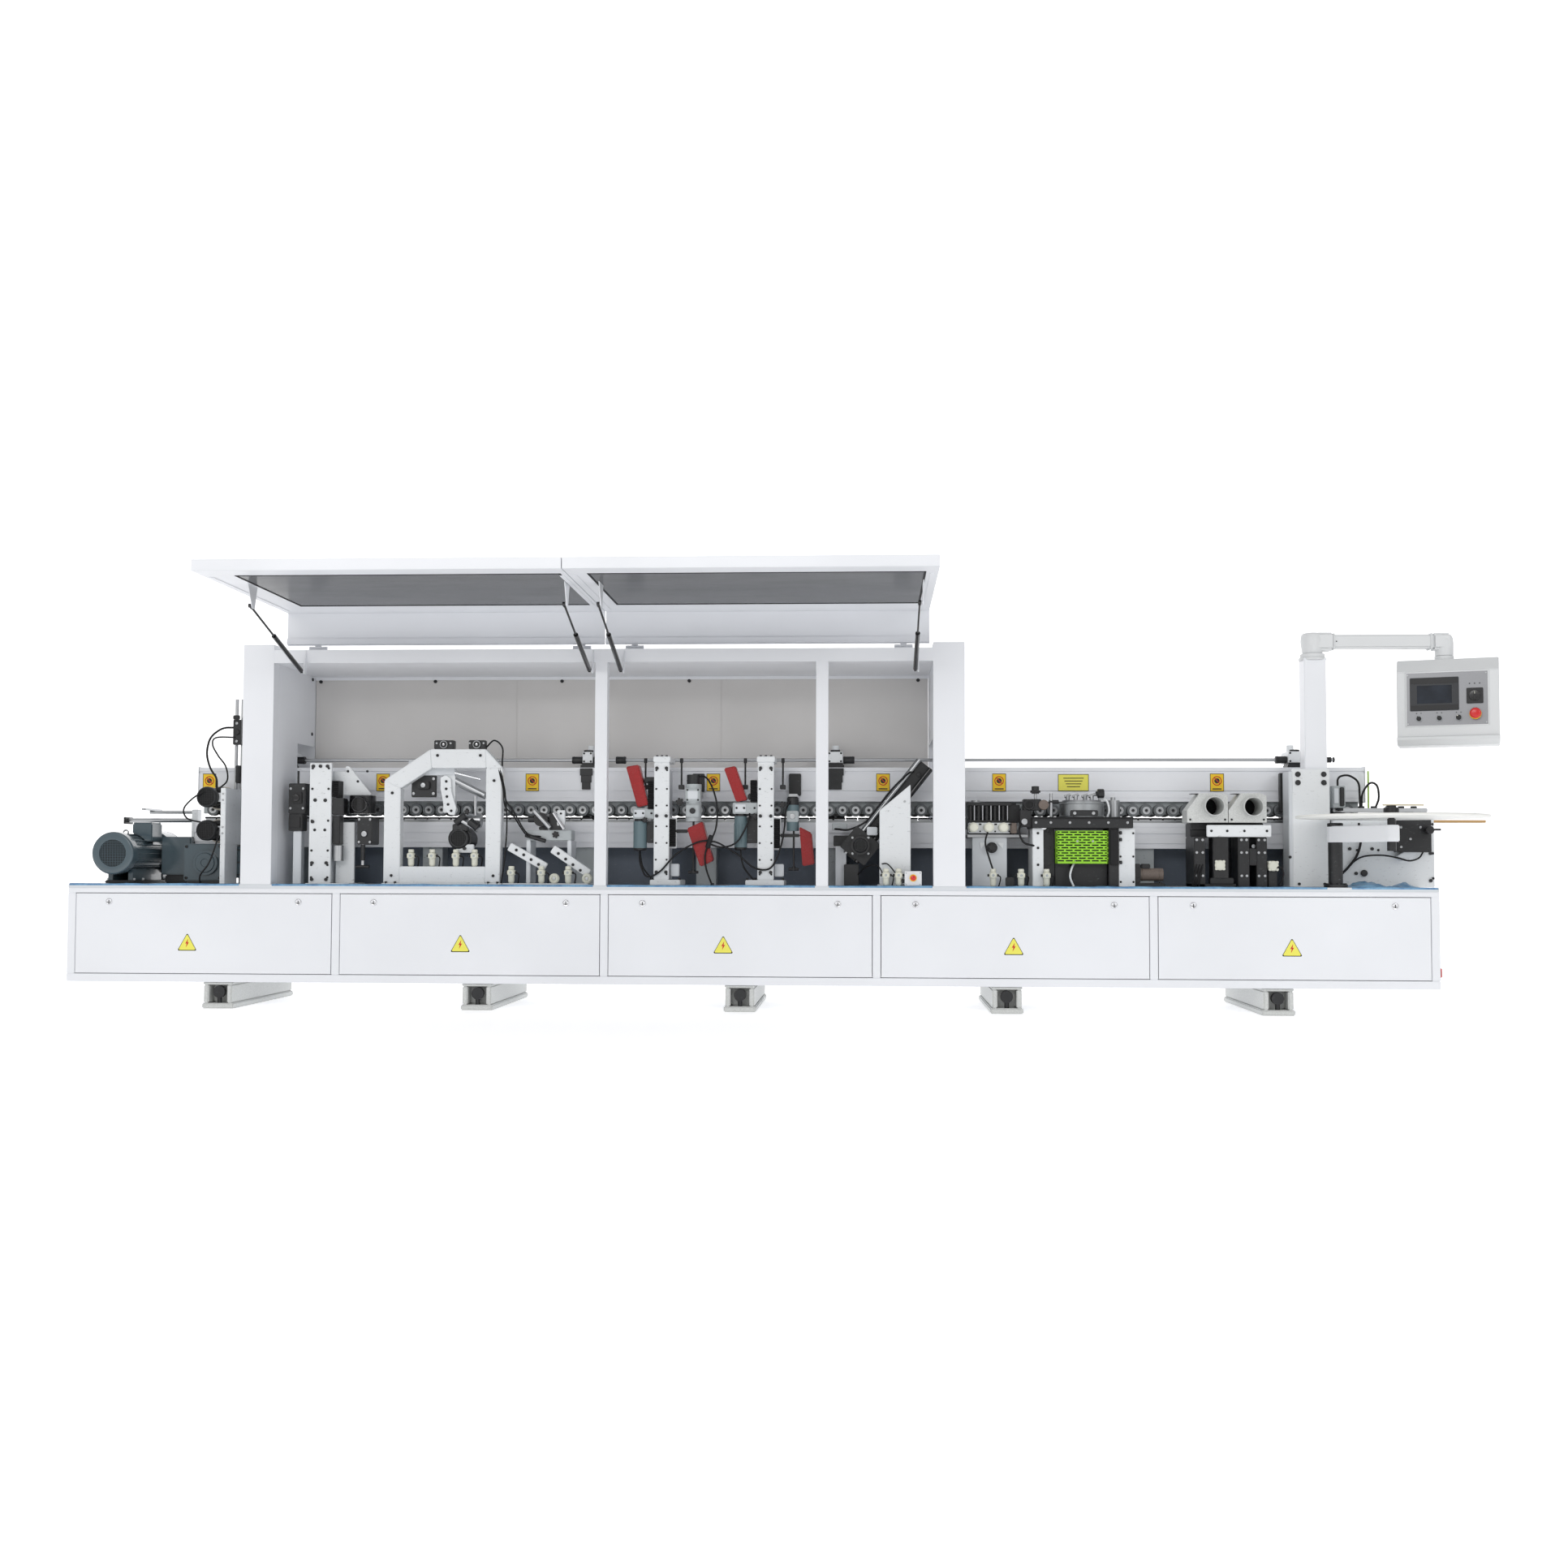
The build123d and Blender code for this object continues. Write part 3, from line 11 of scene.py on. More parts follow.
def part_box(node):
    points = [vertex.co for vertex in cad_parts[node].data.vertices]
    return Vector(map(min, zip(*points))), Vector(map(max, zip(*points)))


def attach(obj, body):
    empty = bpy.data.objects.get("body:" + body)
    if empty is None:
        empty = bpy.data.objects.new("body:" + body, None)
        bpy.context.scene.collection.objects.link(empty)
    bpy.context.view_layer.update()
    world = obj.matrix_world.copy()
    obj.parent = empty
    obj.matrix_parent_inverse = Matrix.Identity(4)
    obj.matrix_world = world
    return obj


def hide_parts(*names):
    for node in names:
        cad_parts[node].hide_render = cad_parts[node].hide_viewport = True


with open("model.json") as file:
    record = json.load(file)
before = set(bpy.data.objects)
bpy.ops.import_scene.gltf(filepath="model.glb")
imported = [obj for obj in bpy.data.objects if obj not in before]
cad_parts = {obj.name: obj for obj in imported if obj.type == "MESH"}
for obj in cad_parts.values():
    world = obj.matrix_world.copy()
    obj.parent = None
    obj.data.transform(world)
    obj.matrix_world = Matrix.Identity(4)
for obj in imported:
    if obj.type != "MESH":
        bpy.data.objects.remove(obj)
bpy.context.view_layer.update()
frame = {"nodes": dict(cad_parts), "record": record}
MM = 0.001
random.seed(11)


# ---- materials: every one is built from shader nodes
def shade(colour, factor=1.0):
    """A colour in 0-255 display values, as the shader wants it, made lighter or darker."""
    out = []
    for value in colour:
        v = value / 255
        out.append(min(1.0, factor * (v / 12.92 if v <= 0.04045 else ((v + 0.055) / 1.055) ** 2.4)))
    return (*out, 1.0)


class Look:
    """A small helper that wires up one node material."""

    def __init__(self, name, metallic=0.0, coat=0.0, specular=0.5):
        self.material = bpy.data.materials.new(name)
        self.material.use_nodes = True
        self.tree = self.material.node_tree
        self.shader = self.tree.nodes["Principled BSDF"]
        self.shader.inputs["Metallic"].default_value = metallic
        self.shader.inputs["Coat Weight"].default_value = coat
        self.shader.inputs["Coat Roughness"].default_value = 0.12
        self.shader.inputs["Specular IOR Level"].default_value = specular
        coords = self.tree.nodes.new("ShaderNodeTexCoord")
        self.place = coords.outputs["Object"]

    def node(self, kind, **inputs):
        made = self.tree.nodes.new(kind)
        for key, value in inputs.items():
            made.inputs[key.replace("_", " ")].default_value = value
        return made

    def join(self, source, target):
        self.tree.links.new(source, target)

    def noise(self, scale, detail=3.0, stretch=(1, 1, 1), rough=0.5):
        mapping = self.node("ShaderNodeMapping")
        mapping.inputs["Scale"].default_value = stretch
        self.join(self.place, mapping.inputs["Vector"])
        made = self.node("ShaderNodeTexNoise", Scale=scale, Detail=detail, Roughness=rough)
        self.join(mapping.outputs["Vector"], made.inputs["Vector"])
        return made.outputs["Fac"]

    def ramp(self, source, stops):
        made = self.tree.nodes.new("ShaderNodeValToRGB")
        points = made.color_ramp.elements
        while len(points) < len(stops):
            points.new(0.5)
        for element, (position, colour) in zip(points, stops):
            element.position = position
            element.color = colour
        self.join(source, made.inputs["Fac"])
        return made.outputs["Color"]

    def spread(self, source, low, high):
        made = self.tree.nodes.new("ShaderNodeMapRange")
        made.inputs["To Min"].default_value = low
        made.inputs["To Max"].default_value = high
        self.join(source, made.inputs["Value"])
        return made.outputs["Result"]

    def mix(self, factor, first, second):
        made = self.tree.nodes.new("ShaderNodeMix")
        made.data_type = "RGBA"
        self.join(factor, made.inputs[0])
        for index, value in ((6, first), (7, second)):
            if isinstance(value, tuple):
                made.inputs[index].default_value = value
            else:
                self.join(value, made.inputs[index])
        return made.outputs[2]

    def bump(self, source, distance, strength=0.4):
        made = self.node("ShaderNodeBump", Distance=distance, Strength=strength)
        self.join(source, made.inputs["Height"])
        self.join(made.outputs["Normal"], self.shader.inputs["Normal"])

    def colour(self, source):
        self.join(source, self.shader.inputs["Base Color"])

    def roughness(self, source):
        self.join(source, self.shader.inputs["Roughness"])


def coated(name, colour, rough, patch=0.03, grain=1400, depth=0.00008, coat=0.0, scuff=None):
    """Powder coat or enamel: faint patches, fine orange peel, and scuffs if any."""
    look = Look(name, coat=coat)
    soft = look.noise(1.7, 2.0)
    base = look.ramp(soft, [(0.3, shade(colour, 1 - patch)), (0.7, shade(colour, 1 + patch))])
    if scuff:
        spots = look.noise(38, 6.0, (1, 1, 2.5), 0.7)
        marks = look.ramp(spots, [(0.60, (0, 0, 0, 1)), (0.72, (1, 1, 1, 1))])
        base = look.mix(marks, base, shade(scuff))
    look.colour(base)
    look.roughness(look.spread(look.noise(26, 4.0), rough - 0.05, rough + 0.07))
    look.bump(look.noise(grain, 1.0), depth, 0.35)
    return look.material


def cast(name, colour, rough=0.55):
    """Painted iron casting: lumpy skin with darker pits."""
    look = Look(name)
    lumps = look.noise(160, 4.0)
    look.colour(look.ramp(lumps, [(0.3, shade(colour, 0.86)), (0.65, shade(colour, 1.05))]))
    look.roughness(look.spread(look.noise(30), rough - 0.08, rough + 0.08))
    look.bump(lumps, 0.0012, 0.5)
    return look.material


def metal(name, colour, rough, stretch=(1, 60, 60), grain=90, depth=0.00004):
    """Bare metal with machining marks along one direction."""
    look = Look(name, metallic=1.0)
    marks = look.noise(grain, 4.0, stretch, 0.6)
    look.colour(look.ramp(marks, [(0.25, shade(colour, 0.82)), (0.75, shade(colour, 1.08))]))
    look.roughness(look.spread(marks, rough - 0.06, rough + 0.12))
    look.bump(marks, depth, 0.25)
    return look.material


def rubbery(name, colour, rough=0.75, grain=700, depth=0.0002):
    look = Look(name, specular=0.3)
    dust = look.noise(14, 5.0)
    look.colour(look.ramp(dust, [(0.35, shade(colour, 0.85)), (0.7, shade(colour, 1.25))]))
    look.roughness(look.spread(dust, rough - 0.1, rough + 0.1))
    look.bump(look.noise(grain, 2.0), depth, 0.4)
    return look.material


def woven(name, colour):
    """Stacked cotton: fine crossing threads, fraying at random."""
    look = Look(name, specular=0.15)
    wave = look.node("ShaderNodeTexWave", Scale=420.0, Distortion=2.5)
    look.join(look.place, wave.inputs["Vector"])
    look.colour(look.ramp(look.noise(60, 5.0), [(0.3, shade(colour, 0.78)), (0.7, shade(colour, 1.04))]))
    look.shader.inputs["Roughness"].default_value = 0.95
    look.bump(wave.outputs["Fac"], 0.0006, 0.6)
    return look.material


def smoked(name):
    """Tinted clear sheet with faint wipe marks."""
    look = Look(name, specular=0.18)
    wipes = look.noise(2.2, 5.0, (1, 3, 1), 0.65)
    look.colour(look.ramp(wipes, [(0.3, shade((44, 45, 48))), (0.7, shade((66, 67, 70)))]))
    look.roughness(look.spread(wipes, 0.12, 0.3))
    look.shader.inputs["Alpha"].default_value = 0.95
    return look.material


def fibre(name, colour):
    """Fibreboard edge: short pressed layers."""
    look = Look(name, specular=0.2)
    layers = look.noise(300, 5.0, (1, 1, 8))
    look.colour(look.ramp(layers, [(0.3, shade(colour, 0.75)), (0.7, shade(colour, 1.1))]))
    look.shader.inputs["Roughness"].default_value = 0.85
    look.bump(layers, 0.0002)
    return look.material


def film_look(name):
    """Thin blue protective film, wrinkled."""
    look = Look(name, coat=0.4)
    folds = look.noise(16, 6.0, (1, 2.5, 1), 0.7)
    look.colour(look.ramp(folds, [(0.3, shade((62, 112, 160))), (0.7, shade((128, 176, 208)))]))
    look.roughness(look.spread(folds, 0.2, 0.5))
    look.bump(folds, 0.003, 0.6)
    return look.material


def screen_look(name):
    look = Look(name, coat=0.2, specular=0.3)
    glow = look.noise(9, 3.0)
    look.colour(look.ramp(glow, [(0.35, shade((22, 26, 32))), (0.75, shade((44, 50, 60)))]))
    look.shader.inputs["Roughness"].default_value = 0.12
    return look.material


LOOKS = {
    "white_paint": coated("cool_white_coat", (234, 236, 240), 0.36),
    "bed_paint": coated("bed_grey_coat", (214, 218, 222), 0.4),
    "grey_panel": coated("inner_panel_coat", (206, 204, 202), 0.3, patch=0.05, coat=0.25),
    "unit_white": coated("unit_white_coat", (228, 231, 233), 0.4, scuff=(178, 180, 182)),
    "web_slate": coated("web_slate_coat", (104, 113, 126), 0.5, patch=0.1, scuff=(140, 147, 156)),
    "housing_grey": coated("housing_grey_coat", (176, 182, 184), 0.4, patch=0.06, scuff=(120, 124, 126)),
    "cast_grey": cast("casting_paint", (206, 208, 206), 0.5),
    "console_cast": coated("console_cast_coat", (218, 220, 221), 0.42, depth=0.0002, grain=700),
    "black_machine": coated("black_satin", (30, 31, 33), 0.42, patch=0.2, scuff=(70, 72, 74)),
    "black_gloss": coated("black_gloss_enamel", (18, 18, 20), 0.2, coat=0.5),
    "slate_paint": coated("slate_gloss", (72, 88, 96), 0.22, patch=0.1, coat=0.7),
    "teal_paint": coated("teal_hammered", (98, 118, 124), 0.35, patch=0.1, grain=500, depth=0.0005),
    "machined_steel": metal("ground_steel", (186, 188, 190), 0.3),
    "upright_steel": metal("ground_steel_upright", (182, 184, 186), 0.3, (60, 60, 1)),
    "galvanised": metal("galvanised_drum", (160, 163, 165), 0.38, (40, 40, 2), 60),
    "silver_panel": metal("brushed_panel", (150, 151, 154), 0.36, (2, 2, 80), 110),
    "chromed_rod": metal("polished_chrome", (226, 227, 230), 0.1, (1, 20, 20), 30, 0.00001),
    "roller_rubber": rubbery("roller_tyre", (112, 116, 118), 0.7),
    "pad_rubber": rubbery("pad_rubber_black", (34, 34, 36), 0.7),
    "cable_black": rubbery("cable_sheath", (22, 22, 24), 0.45),
    "bellows_black": rubbery("bellows_rubber", (26, 26, 28), 0.6),
    "smoked_sheet": smoked("smoked_window"),
    "duct_red": coated("duct_red_enamel", (150, 8, 14), 0.26, patch=0.14, coat=0.1),
    "guard_lime": coated("guard_lime_coat", (150, 214, 44), 0.38, patch=0.05),
    "cloth_wheel": woven("cotton_wheel", (222, 216, 204)),
    "ivory_plastic": coated("ivory_moulding", (222, 222, 208), 0.42, depth=0.00012),
    "laminate": coated("white_melamine", (236, 236, 232), 0.45),
    "board_edge": fibre("fibreboard_edge", (196, 160, 112)),
    "tan_strip": coated("tan_strip_coat", (206, 192, 150), 0.5),
    "stop_red": coated("stop_red_plastic", (206, 30, 30), 0.25, coat=0.3),
    "label_yellow": coated("label_yellow", (246, 204, 22), 0.45, patch=0.02),
    "label_pale": coated("label_pale_yellow", (238, 232, 96), 0.45, patch=0.02),
    "label_dark": coated("label_dark", (48, 44, 26), 0.5, patch=0.02),
    "label_red": coated("label_red", (200, 40, 30), 0.5, patch=0.02),
    "black_plastic": coated("black_moulding", (24, 24, 26), 0.38, patch=0.1),
    "film_blue": film_look("blue_film"),
    "screen": screen_look("operator_screen"),
    "screen_frame": coated("screen_frame_dark", (40, 42, 46), 0.35),
    "brown_cylinder": cast("brown_cylinder", (112, 100, 92), 0.55),
    "brass": metal("turned_brass", (190, 150, 80), 0.3),
    "green_strip": coated("green_strip_coat", (150, 190, 60), 0.45),
    # painted shade: a near-black look put inside keyholes, ports, knob holes and behind fan grilles,
    # standing for the shade that falls in them
    "shadow": coated("dark_inside", (8, 8, 9), 0.8, patch=0.1),
}
NODE_SLOT = {s["node"]: s["material_slot"] for s in frame["record"]["subparts"]}
NODE_BODY = {node: body for body, nodes in frame["record"]["behaviour"]["bodies"].items() for node in nodes}
LOOKS["console_grey"] = LOOKS["console_cast"]


# ---- mesh building
SHARP = math.radians(50)
BOX_FACES = [(0, 1, 3, 2), (4, 6, 7, 5), (0, 4, 5, 1), (2, 3, 7, 6), (0, 2, 6, 4), (1, 5, 7, 3)]
BLACK, STEEL, PLASTIC, CABLE = "black_machine", "machined_steel", "black_plastic", "cable_black"
WHITE, IVORY, CAST, BED = "unit_white", "ivory_plastic", "console_cast", "bed_paint"


def bevelled(bm, width, segments=2):
    """Rounds every edge of a small closed mesh that is sharper than 30 degrees."""
    edges = [e for e in bm.edges if len(e.link_faces) == 2 and e.calc_face_angle(0) > math.radians(30)]
    if width > 0 and edges:
        bmesh.ops.bevel(bm, geom=edges, offset=width, segments=segments, affect="EDGES", clamp_overlap=True)


class Piece:
    """Gathers shapes of several materials, given in millimetres, into one object."""

    def __init__(self, name, body="machine"):
        self.name, self.body, self.node = name, body, None
        self.verts, self.faces, self.indices, self.looks = [], [], [], []
        self.place = Matrix.Identity(4)

    def look(self, key):
        if key not in self.looks:
            self.looks.append(key)
        return self.looks.index(key)

    def take(self, bm, key):
        bm.verts.index_update()
        base, index = len(self.verts), self.look(key)
        self.verts += [self.place @ v.co for v in bm.verts]
        for face in bm.faces:
            self.faces.append([base + v.index for v in face.verts])
            self.indices.append(index)
        bm.free()
        return self

    def hull(self, points, rings, key, bevel=0.0, segments=2):
        """A closed mesh from points and face index lists."""
        bm = bmesh.new()
        verts = [bm.verts.new(p) for p in points]
        for ring in rings:
            bm.faces.new([verts[i] for i in ring])
        bmesh.ops.recalc_face_normals(bm, faces=bm.faces)
        bevelled(bm, bevel, segments)
        return self.take(bm, key)

    def block(self, x, y, z, key, bevel=1.5):
        thin = min(abs(span[1] - span[0]) for span in (x, y, z))
        return self.hull(list(product(x, y, z)), BOX_FACES, key, min(bevel, thin * 0.3))

    def prism(self, outline, span, key, axis="y", bevel=1.5):
        """A flat outline carried along an axis: (x, z) for y, (y, z) for x, (x, y) for z."""
        count = len(outline)
        spot = "xyz".index(axis)
        points = [(*p[:spot], s, *p[spot:]) for s in span for p in outline]
        rings = [tuple(range(count)), tuple(range(2 * count - 1, count - 1, -1))]
        rings += [(i, (i + 1) % count, (i + 1) % count + count, i + count) for i in range(count)]
        return self.hull(points, rings, key, bevel)

    def lathe(self, start, end, profile, key, sides=32):
        """Turns (distance, radius) pairs around the line from start towards end."""
        origin, axis = Vector(start), (Vector(end) - Vector(start)).normalized()
        side = axis.orthogonal().normalized()
        other = axis.cross(side)
        points, rings, last = [], [], None
        for distance, radius in profile:
            centre = origin + axis * distance
            if radius < 1e-6:
                ring = [len(points)]
                points.append(centre)
            else:
                ring = list(range(len(points), len(points) + sides))
                for i in range(sides):
                    a = 2 * math.pi * i / sides
                    points.append(centre + (side * math.cos(a) + other * math.sin(a)) * radius)
            if last is not None:
                for i in range(sides):
                    a, b = last[i % len(last)], last[(i + 1) % len(last)]
                    c, d = ring[(i + 1) % len(ring)], ring[i % len(ring)]
                    quad = []
                    for corner in (a, b, c, d):
                        if corner not in quad:
                            quad.append(corner)
                    if len(quad) > 2:
                        rings.append(quad)
            last = ring
        return self.hull(points, rings, key)

    def rod(self, start, end, radius, key, bevel=1.2, sides=32):
        length = (Vector(end) - Vector(start)).length
        b = min(bevel, radius * 0.4, length * 0.4)
        half = [(0, 0), (0, radius - b), (b * 0.3, radius - b * 0.3), (b, radius)]
        return self.lathe(start, end, half + [(length - d, r) for d, r in reversed(half)], key, sides)

    def bar(self, x, y, z, radius, key, *shape):
        """A rod along one axis: the coordinate given as a pair holds its two ends."""
        start, end = ([c[i] if isinstance(c, tuple) else c for c in (x, y, z)] for i in (0, 1))
        return self.rod(start, end, radius, key, *shape)

    def turn(self, start, way, outline, key, sides=32):
        """A closed turned part: its outline runs along a way such as "-y" and is closed on the axis."""
        axis = Vector([(c == way[1]) * (1 if way[0] == "+" else -1) for c in "xyz"])
        profile = [(outline[0][0], 0), *outline, (outline[-1][0], 0)]
        return self.lathe(start, Vector(start) + axis, profile, key, sides)

    def add(self, key, *rows):
        """Shapes of one look: blocks as six limits, bars as x, y, z, radius, rods as start, end, radius."""
        for row in rows:
            pairs = [isinstance(value, tuple) for value in row]
            if not any(pairs):
                self.block(row[:2], row[2:4], row[4:6], key, *row[6:])
            elif pairs[0] and pairs[1]:
                self.rod(*row[:3], key, *row[3:])
            else:
                self.bar(*row[:4], key, *row[4:])

    def ring(self, centre, axis, major, minor, key, sides=40, small=10):
        """A round ring."""
        origin, along = Vector(centre), Vector(axis).normalized()
        side = along.orthogonal().normalized()
        other = along.cross(side)
        points, rings = [], []
        for i in range(sides):
            a = 2 * math.pi * i / sides
            out = side * math.cos(a) + other * math.sin(a)
            for j in range(small):
                b = 2 * math.pi * j / small
                points.append(origin + out * (major + minor * math.cos(b)) + along * minor * math.sin(b))
        for i in range(sides):
            for j in range(small):
                a, b = i * small + j, i * small + (j + 1) % small
                c, d = ((i + 1) % sides) * small + (j + 1) % small, ((i + 1) % sides) * small + j
                rings.append((a, b, c, d))
        return self.hull(points, rings, key)

    def pipe(self, points, radius, key, sides=10, steps=8):
        """A round lead through smooth points."""
        path = smooth_path([Vector(p) for p in points], steps)
        shape, rings = [], []
        side = (path[1] - path[0]).orthogonal().normalized()
        for i, centre in enumerate(path):
            ahead = path[min(i + 1, len(path) - 1)] - path[max(i - 1, 0)]
            along = ahead.normalized()
            side = (side - along * side.dot(along)).normalized()
            other = along.cross(side)
            for j in range(sides):
                a = 2 * math.pi * j / sides
                shape.append(centre + (side * math.cos(a) + other * math.sin(a)) * radius)
        for i in range(len(path) - 1):
            for j in range(sides):
                k = (j + 1) % sides
                rings.append((i * sides + j, i * sides + k, (i + 1) * sides + k, (i + 1) * sides + j))
        rings.append(tuple(range(sides - 1, -1, -1)))
        rings.append(tuple(range((len(path) - 1) * sides, len(path) * sides)))
        return self.hull(shape, rings, key)

    def screw(self, x, y, z, radius=8, height=8, key="black_machine"):
        """A socket cap screw with its recess, its head towards -Y."""
        h, r = height, radius
        outline = [(0, r), (h * 0.85, r), (h, r * 0.86), (h, r * 0.5), (h * 0.4, r * 0.46)]
        return self.turn((x, y, z), "-y", outline, key, 20)

    def screws(self, places, y, *shape):
        """Screws of one size in one plane, at (x, z) places."""
        for x, z in places:
            self.screw(x, y, z, *shape)

    def done(self, *nodes):
        """Makes the object. It replaces the CAD nodes given, or else the one it dresses."""
        if self.node and not nodes:
            nodes = (self.node,)
        mesh = bpy.data.meshes.new(self.name)
        mesh.from_pydata([tuple(v * MM) for v in self.verts], [], self.faces)
        for key in self.looks:
            mesh.materials.append(LOOKS[key])
        mesh.polygons.foreach_set("material_index", self.indices)
        finish_mesh(mesh)
        obj = bpy.data.objects.new(self.name, mesh)
        bpy.context.scene.collection.objects.link(obj)
        obj.modifiers.new("even_shading", "WEIGHTED_NORMAL").keep_sharp = True
        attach(obj, self.body)
        if nodes:
            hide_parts(*nodes)


def smooth_path(points, steps):
    """A curve through the points, with the two ends kept."""
    if len(points) < 3:
        return points
    padded = [points[0] * 2 - points[1]] + points + [points[-1] * 2 - points[-2]]
    path = []
    for i in range(1, len(padded) - 2):
        p0, p1, p2, p3 = padded[i - 1:i + 3]
        for step in range(steps):
            t = step / steps
            path.append(0.5 * (2 * p1 + (p2 - p0) * t + (2 * p0 - 5 * p1 + 4 * p2 - p3) * t ** 2
                               + (3 * p1 - p0 - 3 * p2 + p3) * t ** 3))
    path.append(points[-1])
    return path


def finish_mesh(mesh):
    """Smooth faces, with the sharp edges marked."""
    bm = bmesh.new()
    bm.from_mesh(mesh)
    for face in bm.faces:
        face.smooth = True
    for edge in bm.edges:
        edge.smooth = len(edge.link_faces) == 2 and edge.calc_face_angle(0) < SHARP
    bm.to_mesh(mesh)
    bm.free()


def solids_of(node):
    """The closed shells of a CAD node, in order, each as a list of corner triples."""
    mesh = frame["nodes"][node].data
    points = [tuple(round(c, 6) for c in v.co) for v in mesh.vertices]
    shells, current, unpaired = [], [], set()
    for polygon in mesh.polygons:
        corners = [points[i] for i in polygon.vertices]
        current.append(corners)
        for a, b in zip(corners, corners[1:] + corners[:1]):
            if a != b:
                unpaired ^= {(a, b) if a < b else (b, a)}
        if not unpaired:
            shells.append(current)
            current = []
    if current:
        shells.append(current)
    return shells


MANY_VERTS = 30


def dress(node, default=None, special=None, bevel=1.5, keep=None):
    """A CAD node's solids again with rounded edges. Special holds the solids that have another look."""
    default = default or NODE_SLOT[node]
    own = {index: key for key, indices in (special or {}).items() for index in indices}
    piece = Piece(node + "_finish", NODE_BODY[node])
    piece.node = node
    for index, shell in enumerate(solids_of(node)):
        if keep is not None and index not in keep:
            continue
        bm = bmesh.new()
        found = {}
        for corners in shell:
            verts = []
            for c in corners:
                if c not in found:
                    found[c] = bm.verts.new([v / MM for v in c])
                verts.append(found[c])
            if len(set(verts)) == len(verts) and not bm.faces.get(verts):
                bm.faces.new(verts)
        bmesh.ops.dissolve_limit(bm, angle_limit=math.radians(0.5), verts=bm.verts, edges=bm.edges)
        size = [max(v.co[i] for v in bm.verts) - min(v.co[i] for v in bm.verts) for i in range(3)]
        bevelled(bm, min(bevel, min(size) * 0.28), 1 if len(bm.verts) > MANY_VERTS else 2)
        piece.take(bm, own.get(index, default))
    return piece


# ---- small repeated details
def warning_triangle(piece, x, z, y):
    """A plain pictogram plate: yellow triangle, dark rim and a jagged bar, with no lettering."""
    for grow, key, lift in ((45, "label_dark", 0.5), (40, "label_pale", 0.9)):
        low, high = z - grow * 0.8, z + grow * 0.98
        outline = [(x - grow + 3, low), (x + grow - 3, low), (x + grow, low + 5), (x + 3, high),
                   (x - 3, high), (x - grow, low + 5)]
        piece.prism(outline, (y - lift, y), key, bevel=0.1)
    bolt = [(5, 22), (-9, -2), (-2, -1), (-5, -20), (9, 5), (2, 4)]
    piece.prism([(x + a, z + b) for a, b in bolt], (y - 1.2, y - 0.8), "label_red", bevel=0.0)


def hand_plate(piece, x, z, y):
    """A plain prohibition plate: a red ring over a dark disc on yellow, with no lettering."""
    piece.block((x - 34, x + 34), (y - 0.8, y), (z - 44, z + 44), "label_dark", 0.3)
    piece.block((x - 31, x + 31), (y - 1.1, y - 0.6), (z - 41, z + 41), "label_yellow", 0.2)
    piece.rod((x, y - 1.0, z + 8), (x, y - 1.5, z + 8), 13, "label_dark", 0.1, 24)
    piece.ring((x, y - 1.4, z + 8), (0, 1, 0), 21, 2.2, "label_red", 32, 6)
    slash = [(x - 15, z + 22), (x - 12, z + 25), (x + 17, z - 6), (x + 14, z - 9)]
    piece.prism(slash, (y - 2.0, y - 1.4), "label_red", bevel=0.0)
    piece.block((x - 22, x + 22), (y - 1.4, y - 1.0), (z - 35, z - 29), "label_dark", 0.1)


def regulator(piece, x, y, z):
    """A bowl regulator: body with a round front cap, ribbed knob, bowl and push-in elbows."""
    piece.block((x - 18, x + 18), (y - 16, y + 17), (z + 38, z + 66), IVORY, 4)
    piece.turn((x, y, z), "+z", [(0, 8), (5, 13), (12, 15), (38, 15)], IVORY, 24)
    piece.turn((x, y, z), "+z", [(66, 11), (69, 14), (80, 14), (83, 12)], IVORY, 20)
    cap = [(0, 13), (3, 15), (5, 15), (7, 12.5), (7, 9), (5.5, 8)]
    piece.turn((x, y - 15, z + 52), "-y", cap, IVORY, 24)
    piece.bar(x, (y - 20, y - 22), z + 52, 6, "housing_grey", 0.4, 16)
    for side in (-1, 1):
        piece.bar((x + side * 18, x + side * 27), y, z + 52, 6, PLASTIC, 0.8, 16)


def star_knob(piece, centre, axis, radius, depth):
    """A lobed hand knob on its stem."""
    along = Vector(axis).normalized()
    start = Vector(centre)
    piece.rod(start, start + along * depth, radius * 0.72, PLASTIC, 2, 24)
    side = along.orthogonal().normalized()
    for i in range(6):
        out = Quaternion(along, i * math.pi / 3) @ side
        hub = start + out * radius * 0.72
        piece.rod(hub + along * 1.5, hub + along * (depth - 1.5), radius * 0.3, PLASTIC, 1.2, 14)


def tee_handle(piece, x, y, z, top, reach, radius=5):
    """A spindle with a cross bar at its lower end."""
    piece.bar(x, y, (z, top), radius, BLACK)
    piece.bar((x - reach, x + reach), y, z, radius + 2, PLASTIC, 2.5)
    piece.bar(x, y, (z - 8, z + 14), radius + 4, BLACK, 2)


def bellows(piece, x, y, z):
    """A pleated way cover standing upright in front of a slide."""
    piece.block((x[0] - 4, x[1] + 4), (y[1] - 6, y[1]), (z[0] - 8, z[1] + 8), WHITE, 1.5)
    count = int((z[1] - z[0]) / 9)
    pitch = (z[1] - z[0]) / count
    outline = [(y[1] - 4, z[0])]
    for i in range(count):
        low = z[0] + i * pitch
        outline += [(y[0] + 7, low + pitch * 0.06), (y[0], low + pitch * 0.4), (y[0], low + pitch * 0.6)]
        outline.append((y[0] + 7, low + pitch * 0.94))
    outline.append((y[1] - 4, z[1]))
    piece.prism(outline, x, "bellows_black", axis="x", bevel=0.5)


WIRE = 1.8


